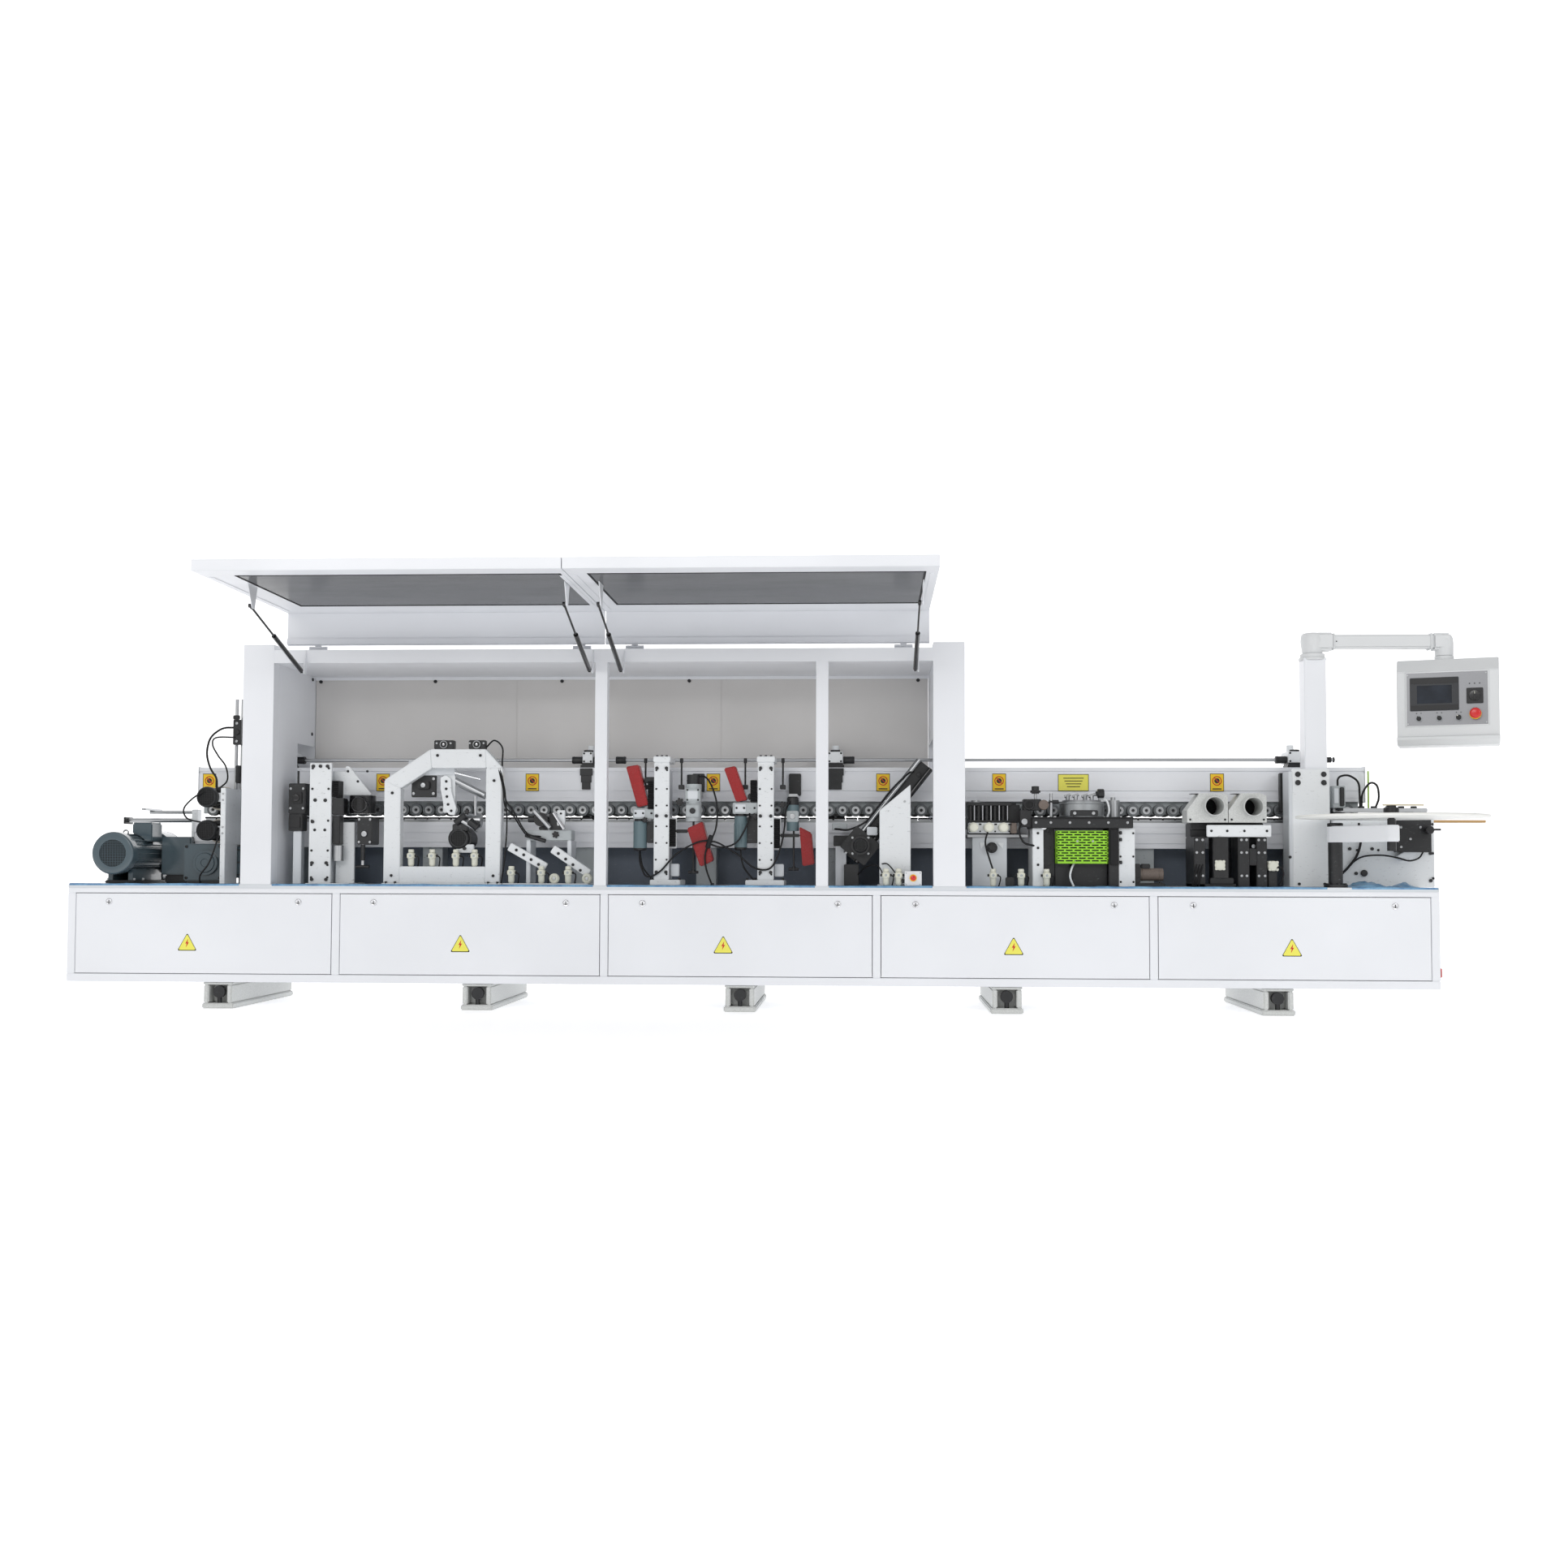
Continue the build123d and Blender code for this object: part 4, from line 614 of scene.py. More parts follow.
def fan_cover(piece, centre, radius, depth, key, mesh_radius, pitch):
    """A domed motor fan cover facing the operator, with a wire grille."""
    x, y, z = centre
    shell = [(depth, radius - 6), (depth, radius), (10, radius), (3, radius - 3), (0, radius - 9)]
    shell += [(0, mesh_radius + 2), (1.5, mesh_radius), (8, mesh_radius - 1), (8, 0)]
    piece.lathe((x, y, z), (x, y + 1, z), [(depth, 0)] + shell, key, 48)
    piece.rod((x, y + 6, z), (x, y + 8.5, z), mesh_radius - 0.5, "shadow", 0.2, 40)
    count = int(mesh_radius / pitch)
    for i in range(-count, count + 1):
        offset = i * pitch
        half = math.sqrt(max(0.0, mesh_radius ** 2 - offset ** 2))
        if half > 4:
            low, high = offset - WIRE / 2, offset + WIRE / 2
            piece.block((x - half, x + half), (y + 3.4, y + 4.8), (z + low, z + high), key, 0)
            piece.block((x + low, x + high), (y + 2.6, y + 4.0), (z - half, z + half), key, 0)


def hex_head(piece, place, way, radius, height):
    piece.turn(place, way, [(0, radius), (height * 0.8, radius), (height, radius * 0.85)], BLACK, 6)


def around(first, second, radius, count, start=0.0):
    """Points spread evenly on a circle, the first at an angle in degrees."""
    angles = [math.radians(start + 360 * index / count) for index in range(count)]
    return [(first + radius * math.cos(a), second + radius * math.sin(a)) for a in angles]


def fins(piece, centre, count, radii, half, span, key, bevel=0.0):
    """Cooling fins around a motor that lies along Y."""
    for x, z in around(0, 0, 1, count):
        out, across = Vector((x, 0, z)), Vector((-z, 0, x))
        points = [Vector(centre) + out * r + across * w + Vector((0, y, 0))
                  for r in radii for w in (-half, half) for y in span]
        piece.hull(points, BOX_FACES, key, bevel, 1)


# ---- base, doors and feet
DOOR_PITCH, LOCK_SPREAD, LOCK_Z, FACE = 1292, 463, 511, -440
TRIANGLE_X = (-2660, -1334, -78, 1287, 2573)
dress("base_frame", bevel=2.5).done()
dress("bed_plate", bevel=1.5).done()
for number in range(1, 6):
    metal_parts = {"chromed_rod": (7, 10), STEEL: (5, 6, 8, 9, 11, 12)}
    door = dress(f"front_door_{number}", special=metal_parts, bevel=1.2)
    middle = (number - 3) * DOOR_PITCH
    for side in (-1, 1):
        lock = (middle + side * LOCK_SPREAD, FACE, LOCK_Z)
        rim = [(0, 0), (0, 15.5), (1.2, 16), (2.6, 15.5), (4.2, 13.5), (4.2, 11.5), (3.4, 10.5), (3.4, 0)]
        door.lathe(lock, (lock[0], FACE - 1, LOCK_Z), rim, "chromed_rod", 36)
        door.block((lock[0] - 1.8, lock[0] + 1.8), (FACE - 3.9, FACE - 3.2), (LOCK_Z - 8, LOCK_Z + 8),
            "shadow", 0)
    warning_triangle(door, TRIANGLE_X[number - 1], 313, FACE)
    door.done()
for node, rounding in (("cast_feet", 5), ("levelling_bolts", 3), ("control_cabinet", 1)):
    dress(node, bevel=rounding).done()

switch = Piece("main_switch")
switch.add(PLASTIC, (3250, 3256, -405, -325, 160, 240, 2), ((3256, 3268), -365, 200, 24, 2))
switch.block((3268, 3280), (-371, -359), (178, 222), "stop_red", 3)
switch.done()


def film_strip(name, x, y, z, lift, seed, fold=True):
    """Loose protective film on the bed, folded over its front edge."""
    bm = bmesh.new()
    rows = []
    depth = y[1] - y[0]
    section = [(0.0, -4), (0.0, 0), (0.02, 2), (0.2, 1.2), (0.45, 1.0), (0.75, 0.8), (1.0, 0.3)]
    if not fold:
        section = [(t / 12, 0.4) for t in range(13)]
    count = max(2, int((x[1] - x[0]) / 14))
    for i in range(count + 1):
        px = x[0] + (x[1] - x[0]) * i / count
        row = []
        for t, rise in section:
            py = y[0] + t * depth
            wave = noise.noise(Vector((px * 0.011 + seed, py * 0.013, seed)))
            ripple = noise.noise(Vector((px * 0.045 + seed, py * 0.05, seed + 4)))
            edge = 1.0 if fold else min(1.0, 6 * min(t, 1 - t), 6 * min(i, count - i) / count)
            up = max(0.3, lift * edge * (0.55 + wave + 0.5 * ripple)) if rise > -1 else rise
            if t == 0:
                py, up = py - 0.8, up + rise
            row.append(bm.verts.new((px * MM, py * MM, (z + up) * MM)))
        rows.append(row)
    for first, second in zip(rows, rows[1:]):
        for j in range(len(section) - 1):
            bm.faces.new((first[j], second[j], second[j + 1], first[j + 1]))
    mesh = bpy.data.meshes.new(name)
    bm.to_mesh(mesh)
    bm.free()
    for polygon in mesh.polygons:
        polygon.use_smooth = True
    mesh.materials.append(LOOKS["film_blue"])
    obj = bpy.data.objects.new(name, mesh)
    bpy.context.scene.collection.objects.link(obj)
    skin = obj.modifiers.new("thickness", "SOLIDIFY")
    skin.thickness = 0.0004
    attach(obj, "machine")


for index, span in enumerate([(-3244, -2412), (-2252, -700), (-634, 355), (421, 908), (1067, 2738),
    (2850, 3244)]):
    film_strip(f"bed_film_{index + 1}", span, (-439.5, -376), 597, 3.2, index * 3.1)
film_strip("bed_film_heap", (2860, 3190), (-372, -190), 597.5, 24, 21.7, fold=False)


# ---- cabinet
dress("side_posts", bevel=1.5).done()
cabinet = dress("hood_frame", bevel=1.2)
for x in (-2230, -1629, -969, -311, 350, 860):
    cabinet.screw(x, 172, 1640, 9, 6)
cabinet.done()
rear = dress("back_panels", bevel=1.2)
rear.block((-2258, 913), (166, 172), (1647, 1663), "white_paint", 1.5)
for z in (1646, 1364):
    rear.turn((-2258, 120, z), "+x", [(0, 9), (5, 8)], BLACK, 16)
for x in (-1201, -144):
    rear.block((x - 8, x + 8), (174, 178), (1090, 1663), "grey_panel", 0.5)
rear.done()

for side in ("left", "right"):
    leaf = dress(f"hood_{side}", bevel=0.9)
    low, high = (v / MM for v in (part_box(f"hood_{side}")[0].x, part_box(f"hood_{side}")[1].x))
    for x in (low + 26, high - 26):
        leaf.block((x - 10, x + 10), (-1360, -420), (1915.4, 1918), "white_paint", 0.8)
    leaf.done()
    pane = dress(f"hood_{side}_window", bevel=1)
    box_low, box_high = (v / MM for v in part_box(f"hood_{side}_window"))
    seal = 9
    for span in ((box_low.x, box_low.x + seal), (box_high.x - seal, box_high.x)):
        pane.block(span, (box_low.y, box_high.y), (1916.2, 1918.2), "bellows_black", 0.6)
    for span in ((box_low.y, box_low.y + seal), (box_high.y - seal, box_high.y)):
        pane.block((box_low.x, box_high.x), span, (1916.2, 1918.2), "bellows_black", 0.6)
    pane.done()
    dress(f"strut_cylinders_{side}", "black_gloss", bevel=1).done()
    dress(f"strut_rods_{side}", "black_gloss", bevel=0.8).done()


# ---- feed beams, rollers and chain


def grooved(outline_low, outline_high, front, back, grooves):
    """A beam section in (y, z) with shallow grooves in its front face."""
    points = [(front, outline_low)]
    for low, high, depth in grooves:
        points += [(front, low), (front + depth, low), (front + depth, high), (front, high)]
    points += [(front, outline_high), (back, outline_high), (back, outline_low)]
    return points


beam = Piece("pressure_beam_finish", "lifting_beam")
beam.prism(grooved(1012, 1181, -40, 80, [(1028, 1031, 3), (1055, 1066, 7), (1152, 1163, 7)]),
    (-2780, 3032), "white_paint", axis="x", bevel=0.8)
beam.block((-2766, 3009), (-6, 6), (950, 1012), "housing_grey", 1)
beam.block((1542, 1693), (-41, -40), (1064, 1148), "label_dark", 0.3)
beam.block((1545, 1690), (-41.4, -40.6), (1067, 1145), "label_pale", 0.2)
for x in (-2783, 3032):
    beam.block((x, x + 3), (-44, 84), (1008, 1185), WHITE, 1)
for z in (1040, 1110, 1168):
    for x, way in ((-2783, "-x"), (3035, "+x")):
        hex_head(beam, (x, 20, z), way, 8, 4)
for x in (-2726, -1835, -1076, -165, 680, 1253, 2318):
    hand_plate(beam, x, 1107, -40)
for row in range(4):
    z = 1126 - row * 14
    beam.block((1568 + row * 6, 1668 - row * 6), (-41.8, -41.2), (z, z + 4), "label_dark", 0.1)
beam.done("pressure_beam")

rollers = Piece("pressure_roller_rows", "lifting_beam")
ROLLER_START, ROLLER_PITCH, ROLLER_Z, ROLLERS = -2706, 65, 969, 88
tyre = [(1.6, 19), (0.6, 21), (0.4, 27), (1.4, 30), (3.5, 31), (32.5, 31), (35, 29), (36, 26), (36, 19),
    (1.6, 19)]
hub = [(3.4, 0), (3.4, 10.5), (1.4, 11.5), (1.0, 18.6), (2.4, 19.4), (34, 19.4), (34, 0)]
for index in range(ROLLERS):
    x = ROLLER_START + index * ROLLER_PITCH
    rollers.lathe((x, -42, ROLLER_Z), (x, -41, ROLLER_Z), tyre, "roller_rubber", 24)
    rollers.lathe((x, -42, ROLLER_Z), (x, -41, ROLLER_Z), hub, STEEL, 20)
    rollers.turn((x, -38.4, ROLLER_Z), "-y", [(0, 8), (3, 7.4), (3, 3.5), (1, 3.2)], BLACK, 12)
    if index < ROLLERS - 1:
        rollers.bar(x + ROLLER_PITCH / 2, (6, 42), ROLLER_Z, 31, "roller_rubber", 2, 20)
rollers.done("pressure_rollers")

chain_beam = dress("conveyor_beam", "housing_grey", {"web_slate": (12,), STEEL: (13,)}, keep=range(4, 14))
chain_beam.prism(grooved(781, 907, -60, 100, [(796, 806, 7), (845, 855, 7), (884, 887, 3)]), (-2790, 3300),
    "white_paint", axis="x", bevel=0.8)
for x in (-2792, 3300):
    chain_beam.block((x, x + 2), (-62, 102), (779, 909), WHITE, 0.8)
chain_beam.done()

pads = Piece("feed_chain")
for index in range(100):
    x = -2745 + index * 60
    pads.block((x + 0.5, x + 56.5), (-44, 84), (924, 932), "pad_rubber", 1.5)
    pads.block((x + 3, x + 54), (-41, 81), (919, 924), STEEL, 0.6)
    for rib in (14, 28, 42):
        pads.block((x + rib - 1.2, x + rib + 1.2), (-44.6, -43.4), (924.5, 931), "bellows_black", 0.2)
pads.done("conveyor_chain")
dress("chain_sprocket", bevel=1).done()

shaft = dress("lift_shaft", special={BLACK: range(5, 12)}, bevel=2)
for low, high in ((-2310, -2254), (-884, -830), (-776, -720), (-663, -613), (349, 403), (481, 537),
    (2617, 2671)):
    for x in (low + 8, high - 8):
        shaft.ring((x, 20, 1222), (1, 0, 0), 17.6, 2.2, BLACK, 24, 6)
shaft.ring((2900, 20, 1222), (1, 0, 0), 10, 4, BLACK, 24, 8)
shaft.bar((2868, 2888), 20, 1222, 14, BLACK, 2)
shaft.done()
gearboxes = dress("lift_gearboxes", BLACK, {WHITE: (0, 1, 5, 6, 10, 11, 15, 16)}, bevel=2)
for x in (-2350, -803, 442, 2710):
    half = 25 if x == -803 else 37
    for dx in (-half + 8, half - 8):
        for z in (1214, 1254):
            gearboxes.screw(x + dx, -14, z, 5, 3)
    for step, low in enumerate((1141, 1106, 1071)):
        if x in (-803, 442):
            wide = half + 6 - step * 5
            gearboxes.block((x - wide, x + wide), (-52, -40), (low, low + 36), BLACK, 1)
gearboxes.done()
dress("lift_columns", BLACK, {"upright_steel": (1, 3, 5, 7)}).done()


# ---- outfeed end: drive motor, side rests and buffing wheels
drive = dress("drive_unit", "slate_paint", {BLACK: (4, 9)}, bevel=6, keep=range(2, 13))
MOTOR = (-3062, -385, 745)
fan_cover(drive, MOTOR, 104, 58, "slate_paint", 66, 8.2)
drive.turn((MOTOR[0], -330, 745), "+y", [(0, 88), (4, 93), (376, 93), (380, 90)], "slate_paint", 48)
for y in (52, 196):
    drive.ring((MOTOR[0], y, 745), (0, 1, 0), 114, 5, "slate_paint", 56, 10)
fins(drive, MOTOR, 26, (90, 97.6), 1.6, (62, 430), "slate_paint", 0.6)
for x, z in around(MOTOR[0], MOTOR[2], 92, 4, 45):
    drive.bar(x, (-374, -368), z, 6, STEEL, 1, 14)
drive.block((-3048, -2956), (-186, -74), (893, 899), "slate_paint", 2)
for x in (-3042, -2962):
    for y in (-180, -80):
        drive.bar(x, y, (897, 901.5), 4.5, STEEL, 0.8, 12)
for y in (-240, 20):
    drive.ring((-3062, y, 848), (0, 1, 0), 12, 4, STEEL, 24, 8)
for x in (-3125, -3000):
    for y in (-280, -180):
        drive.bar(x, y, (612, 624), 8, STEEL, 1.5, 6)
drive.turn((-2675, -206, 700), "-y", [(0, 50), (6, 46), (6, 20), (3, 18)], "slate_paint", 40)
drive.screws(product((-2775, -2605), (625, 780)), -190, 7, 6)
for z in (640, 702, 764):
    drive.block((-2584, -2478), (-173, -169), (z - 3, z + 3), BLACK, 1)
drive.done()
dress("outfeed_supports", STEEL, {WHITE: (0,), PLASTIC: (4,)}, bevel=1.5).done()

buffing = dress("buffing_unit", BLACK, {WHITE: (9, 10, 11, 12), STEEL: (6, 7)}, bevel=2,
    keep=(2, 5, *range(6, 14)))
for z in (1021, 858):
    fan_cover(buffing, (-2625, -330, z), 51, 36, BLACK, 40, 6.2)
    buffing.turn((-2625, -296, z), "+y", [(0, 40), (2, 43), (112, 43), (116, 40)], "black_gloss", 32)
    fins(buffing, (-2625, 0, z), 18, (41, 47), 1.1, (-292, -184), "black_gloss")
    buffing.block((-2600, -2572), (-270, -225), (z + 30, z + 50), BLACK, 3)
    for dz in (-15, 15):
        buffing.screw(-2540, -330, z + dz, 5, 4, STEEL)
for z in (1310, 1400):
    buffing.screw(-2562, -110, z, 7, 6, STEEL)
buffing.add(PLASTIC, (-2562, (-118, -110), 1355, 14, 2), (-2578, -2546, -125, -108, 1419, 1440, 3))
buffing.block((-2572, -2552), (-95, -70), (1100, 1190), BLACK, 3)
buffing.pipe([(-2567, -106, 1330), (-2655, -140, 1326), (-2669, -150, 1290), (-2640, -150, 1235),
    (-2600, -150, 1180), (-2588, -160, 1110), (-2618, -200, 1064)], 4, CABLE)
buffing.pipe([(-2600, -300, 1058), (-2662, -342, 1030), (-2726, -346, 967), (-2712, -340, 915),
    (-2650, -300, 896)], 4, CABLE)
buffing.pipe([(-2572, -300, 870), (-2560, -344, 812), (-2596, -350, 700), (-2640, -345, 640),
    (-2660, -300, 595)], 4, CABLE)
buffing.done()

for tag, z in (("upper", 1021), ("lower", 858)):
    wheel = dress(f"buffing_wheel_{tag}", "cloth_wheel", {STEEL: (0,)}, bevel=1.2)
    wheel.turn((-2625, -152, z), "-y", [(0, 22), (3, 21), (3, 10), (9, 9)], STEEL, 24)
    wheel.done()


# ---- finishing units under the left hood
tower = dress("scraping_tower", WHITE, {BED: (1,)}, bevel=2)
tower.screws(product((-2094, -2014), (630, 690, 760, 905, 1060, 1160)), -340, 5.5, 4)
for x, z, radius in ((-2080, 1005, 9), (-2030, 1004, 9), (-2080, 860, 7), (-2030, 860, 7)):
    tower.bar(x, (-343, -339), z, radius, BLACK, 1, 20)
tower.screws(((-1945, 1150), (-1848, 1150), (-1895, 1100)), -260, 6, 5)
tower.bar((-2110, -2001), -332, 1120, 4, STEEL)
bellows(tower, (-1996, -1966), (-345, -258), (1020, 1100))
tower.done()

work = dress("finishing_motors", BLACK, {STEEL: (2, 11, 12), "black_gloss": (3, 15), "chromed_rod": (5,),
    BED: (9,), "housing_grey": (16,), IVORY: (19, 20)}, bevel=3)
fan_cover(work, (-1872, -318, 986), 44, 20, "black_gloss", 32, 6)
work.screws(((-1870, 912), (-1816, 912), (-1870, 802), (-1816, 802)), -310, 6, 5, STEEL)
work.add(STEEL, (-1843, (-322, -310), 842, 14, 2), (-1560, (-306, -298), 1080, 12, 2),
    ((-1469, -262, 1134), (-1262, -262, 1032), 15, 3), ((-1378, -292, 912), (-1290, -292, 862), 13, 2),
    ((-1009, -322, 956), (-930, -322, 872), 12, 2))
work.add(BLACK, (-1853, -300, (712, 789), 11, 2), ((-1400, -296, 895), (-1352, -296, 935), 17, 3),
    ((-1330, -300, 905), (-1286, -300, 872), 20, 3), (-1416, -1340, -292, -262, 858, 892, 4),
    ((-1052, -316, 838), (-952, -316, 808), 10, 2), ((-1040, -1000), -306, 915, 16, 2))
work.add(PLASTIC, (-2205, -2150, -330, -318, 990, 1045, 4), (-2214, -2160, -316, -306, 870, 925, 3),
    (-2178, -300, (1088, 1150), 5), (-1590, -1530, -300, -278, 1062, 1098, 4),
    (-1355, (-302, -282), 772, 8, 2))
work.bar(-2178, (-338, -328), 1017, 18, "black_gloss", 3)
work.add("chromed_rod", ((-1405, -300, 1140), (-1276, -300, 1108), 6),
    ((-1304, -292, 1028), (-1303, -292, 933), 8), ((-915, -318, 946), (-862, -318, 866), 9, 2))
work.add(WHITE, (-1398, -1312, -284, -262, 752, 792, 3), (-900, -862, -306, -284, 884, 958, 2))
work.screws(product((-2208, -2146), (966, 1062)), -320, 6, 5, STEEL)
work.screws(((-1612, 1040), (-1514, 1040), (-1612, 1112), (-1514, 1112)), -280, 7, 5, STEEL)
crank = [(-1476, 1118), (-1448, 1128), (-1424, 1112), (-1420, 1046), (-1396, 968), (-1404, 934),
    (-1430, 936), (-1456, 966), (-1464, 1010), (-1474, 1060)]
work.prism(crank, (-300, -284), WHITE, bevel=2)
work.screws(((-1446, 1098), (-1446, 1062), (-1442, 1024), (-1436, 986), (-1420, 955)), -300, 6.5, 4)
fan_cover(work, (-1386, -292, 821), 52, 24, BLACK, 36, 6)
star_knob(work, (-1340, -306, 950), (0, -1, 0), 14, 12)
for z in (900, 942):
    work.screw(-881, -306, z, 5, 4)
star_knob(work, (-906, -300, 840), (0, -1, 0), 17, 14)
for x in (-904, -745):
    work.turn((x, -348, 628), "-y", [(0, 22), (5, 20), (5, 13), (1, 11)], IVORY, 28)
    work.bar(x, (-352, -348), 628, 8, STEEL, 1, 16)
work.done()

arch = dress("tracking_arch", WHITE, {BED: (8, 15, 16), BLACK: (9, 10, 11)}, bevel=3)
for x in (-1452, -1290):
    arch.turn((x, -334, 1276), "-y", [(0, 22), (5, 21), (5, 14), (2, 13)], BLACK, 28)
    arch.ring((x, -339, 1276), (0, 1, 0), 17, 2, STEEL, 28, 8)
    arch.bar(x, (-343, -336), 1276, 6, "chromed_rod", 1, 16)
    for dx in (-34, 34):
        arch.screw(x + dx, -334, 1282, 5, 5, STEEL)
arch.screws(((-1700, 640), (-1700, 1040), (-1202, 640), (-1202, 1100), (-1480, 1222), (-1270, 1222)), -340,
    7, 5)
for x in (-1725, -1680, -1225, -1180):
    arch.screw(x, -352, 601, 1.5, 1)
    arch.bar(x, -346, (603, 612), 6, BLACK, 1, 12)
arch.block((-1660, -1242), (-352, -340), (604, 612), WHITE, 2)
for (low_x, low_z), (high_x, high_z) in (((-1110, 782), (-965, 690)), ((-905, 768), (-762, 660))):
    for t in (0.125, 0.375, 0.625, 0.875):
        arch.screw(low_x + (high_x - low_x) * t, -330, low_z + (high_z - low_z) * t - 6, 7, 5)
arch.pipe([(-1253, -300, 1262), (-1212, -300, 1298), (-1172, -300, 1262), (-1172, -300, 1186),
    (-1170, -300, 1080)], 4, CABLE)
for offset, fall in ((0, 0), (7, 22)):
    arch.pipe([(-1182 + offset, -336, 1160), (-1156 + offset, -346, 1060),
        (-1147 + offset, -344, 978 + fall), (-1106, -342, 931 + fall), (-1042, -330, 836 + fall / 2),
        (-985 + offset, -297, 830)], 3.6, CABLE)
arch.pipe([(-1168, -330, 1140), (-1146, -330, 1000), (-1140, -330, 867), (-1151, -330, 710),
    (-1166, -330, 600)], 3.6, CABLE)
arch.done()


# ---- trimming units under the right hood
trim = dress("trim_units", WHITE, {BED: (1, 5), "teal_paint": (8, 10), BLACK: (9, 11, 14, 15),
    "housing_grey": (12, 13)}, bevel=3)
for left, right in ((-424, -350), (76, 154)):
    trim.screws(product((left + 11, right - 11), (650, 720, 800, 880, 980, 1060, 1150)), -340, 4.6, 3.5)
    for x in (left + 14, (left + right) / 2, right - 14):
        trim.bar(x, -335, (1217, 1223), 6, BLACK, 1, 14)
        trim.bar(x, -150, (1217, 1223), 6, BLACK, 1, 14)
    trim.bar((left + right) / 2, (-344, -340), 1205, 6, BLACK, 1, 14)
for x, y, z in (((-455, -428), (-335, -290), (962, 1100)), ((-350, -322), (-335, -290), (783, 916)),
    ((40, 70), (-335, -290), (997, 1104)), ((154, 182), (-335, -290), (776, 917))):
    bellows(trim, x, y, z)
for x in (-477, -301, 10, 193):
    trim.bar(x, -250, (1076, 1206), 4.5, BLACK)
    trim.bar(x, -250, (1190, 1214), 8, PLASTIC, 2)
    trim.block((x - 14, x + 14), (-262, -238), (1062, 1084), BLACK, 2)
for x, z, radius in ((-468, 911, 14), (-300, 998, 20), (62, 930, 14), (196, 985, 16)):
    star_knob(trim, (x, -322, z), (0, -1, 0), radius, 16)
for x, top in ((-496, 776), (-8, 780)):
    trim.turn((x, -290, top), "-z", [(0, 31), (8, 31), (14, 26)], PLASTIC, 32)
    trim.pipe([(x, -290, top - 12), (x + 2, -290, top - 40), (x + 18, -290, top - 100),
        (x + 70, -290, 615)], 4, CABLE)
    trim.bar(x + 70, -290, (622, 634), 8, PLASTIC, 2, 16)
    for px, py in around(x, -290, 31.5, 14):
        trim.bar(px, py, (top + 20, top + 116), 1.6, "teal_paint", 0.4, 6)
trim.add(BED, (-522, -470, -326, -318, 925, 960, 3), (-34, 18, -326, -318, 950, 988, 3),
    (-346, -306, -300, -262, 640, 700, 3), (156, 200, -300, -262, 640, 700, 3))
trim.rod((-144, -346, 838), (-164, -346, 776), 12, "bellows_black", 4, 20)
trim.bar(-140, -344, (597, 609), 9, PLASTIC, 2, 16)
for x, y, z in ((-514, -326, 943), (-478, -326, 943), (-438, -322, 943), (-26, -326, 969), (10, -326, 969),
    (60, -322, 969)):
    trim.screw(x, y, z, 5, 4)
for x in (-436, -300, 26, 198):
    trim.bar(x, -330, (623, 633), 6.5, BLACK, 1, 14)
loops = ([(-496, -292, 766), (-490, -330, 705), (-456, -350, 640), (-393, -352, 662), (-315, -350, 745),
    (-221, -350, 800), (-152, -346, 814)], [(-154, -346, 808), (-111, -350, 800), (-17, -350, 744),
    (62, -350, 682), (140, -350, 682), (186, -348, 776), (205, -346, 870), (214, -340, 963),
    (238, -300, 1012)], [(37, -316, 948), (30, -334, 900), (-20, -342, 808), (-90, -346, 780),
    (-158, -346, 796)], [(-232, -290, 1124), (-168, -320, 1110), (-122, -344, 1000), (-124, -346, 870),
    (-172, -346, 760), (-170, -346, 680), (-140, -344, 596)])
for path in loops:
    trim.pipe(path, 4.4, CABLE)
trim.done()

heads = dress("upper_trim_heads", STEEL, {BLACK: (1, 3, 5, 7), "housing_grey": (0,), "teal_paint": (2,)},
    bevel=3)
heads.add("housing_grey", (-274, -202, -328, -262, 1000, 1064, 4), (-270, -206, -334, -320, 925, 985, 5),
    (214, 272, -320, -255, 903, 956, 4))
heads.block((-262, -214), (-332, -326), (1012, 1052), BED, 3)
heads.bar(-238, (-330, -342), 955, 14, BLACK, 2)
heads.bar(243, (-326, -318), 930, 14, STEEL, 2)
heads.screws(product((-264, -212), (1008, 1056)), -328, 4.5, 4)
heads.turn((-238, -285, 1100), "+z", [(0, 34), (5, 34), (5, 31), (26, 31), (30, 26)], BLACK, 32)
heads.turn((243, -285, 985), "+z", [(0, 29), (6, 30), (34, 28), (39, 20)], BLACK, 28)
for x, low, high in ((-237, 660, 908), (248, 676, 863)):
    tee_handle(heads, x, -292, low, high, 25)
heads.done()

dress("trim_dust_ducts", "duct_red", {BLACK: (4, 5, 6, 7)}, bevel=5).done()


# ---- end trimming
cutoff = dress("end_trim_frame", BLACK, {"black_gloss": (3,), STEEL: (4,), WHITE: (5, 6, 7)}, bevel=2.5)
cutoff.turn((818, -425, 636), "-y", [(0, 17), (2, 17), (2, 12), (7, 12)], "label_yellow", 28)
cutoff.turn((818, -432, 636), "-y", [(0, 8), (6, 8), (8, 13), (13, 13), (15, 10)], "stop_red", 28)
for dx, dz in ((-33, -28), (33, -28), (-33, 25), (33, 25)):
    cutoff.bar(818 + dx, (-425, -427), 634 + dz, 3, STEEL, 0.5, 10)
cutoff.add(PLASTIC, ((778, 764), -405, 622, 9, 2), (728, 770, -330, -296, 604, 660, 4))
cutoff.block((430, 505), (-215, -150), (866, 900), "housing_grey", 3)
cutoff.block((438, 520), (-215, -150), (788, 840), BLACK, 3)
cutoff.block((448, 500), (-215, -150), (597, 788), BED, 2)
for t in (0.08, 0.35, 0.62, 0.9):
    x, z = 515 + 375 * t, 735 + 445 * t
    cutoff.bar(x, (-222, -212), z, 11, BLACK, 2, 16)
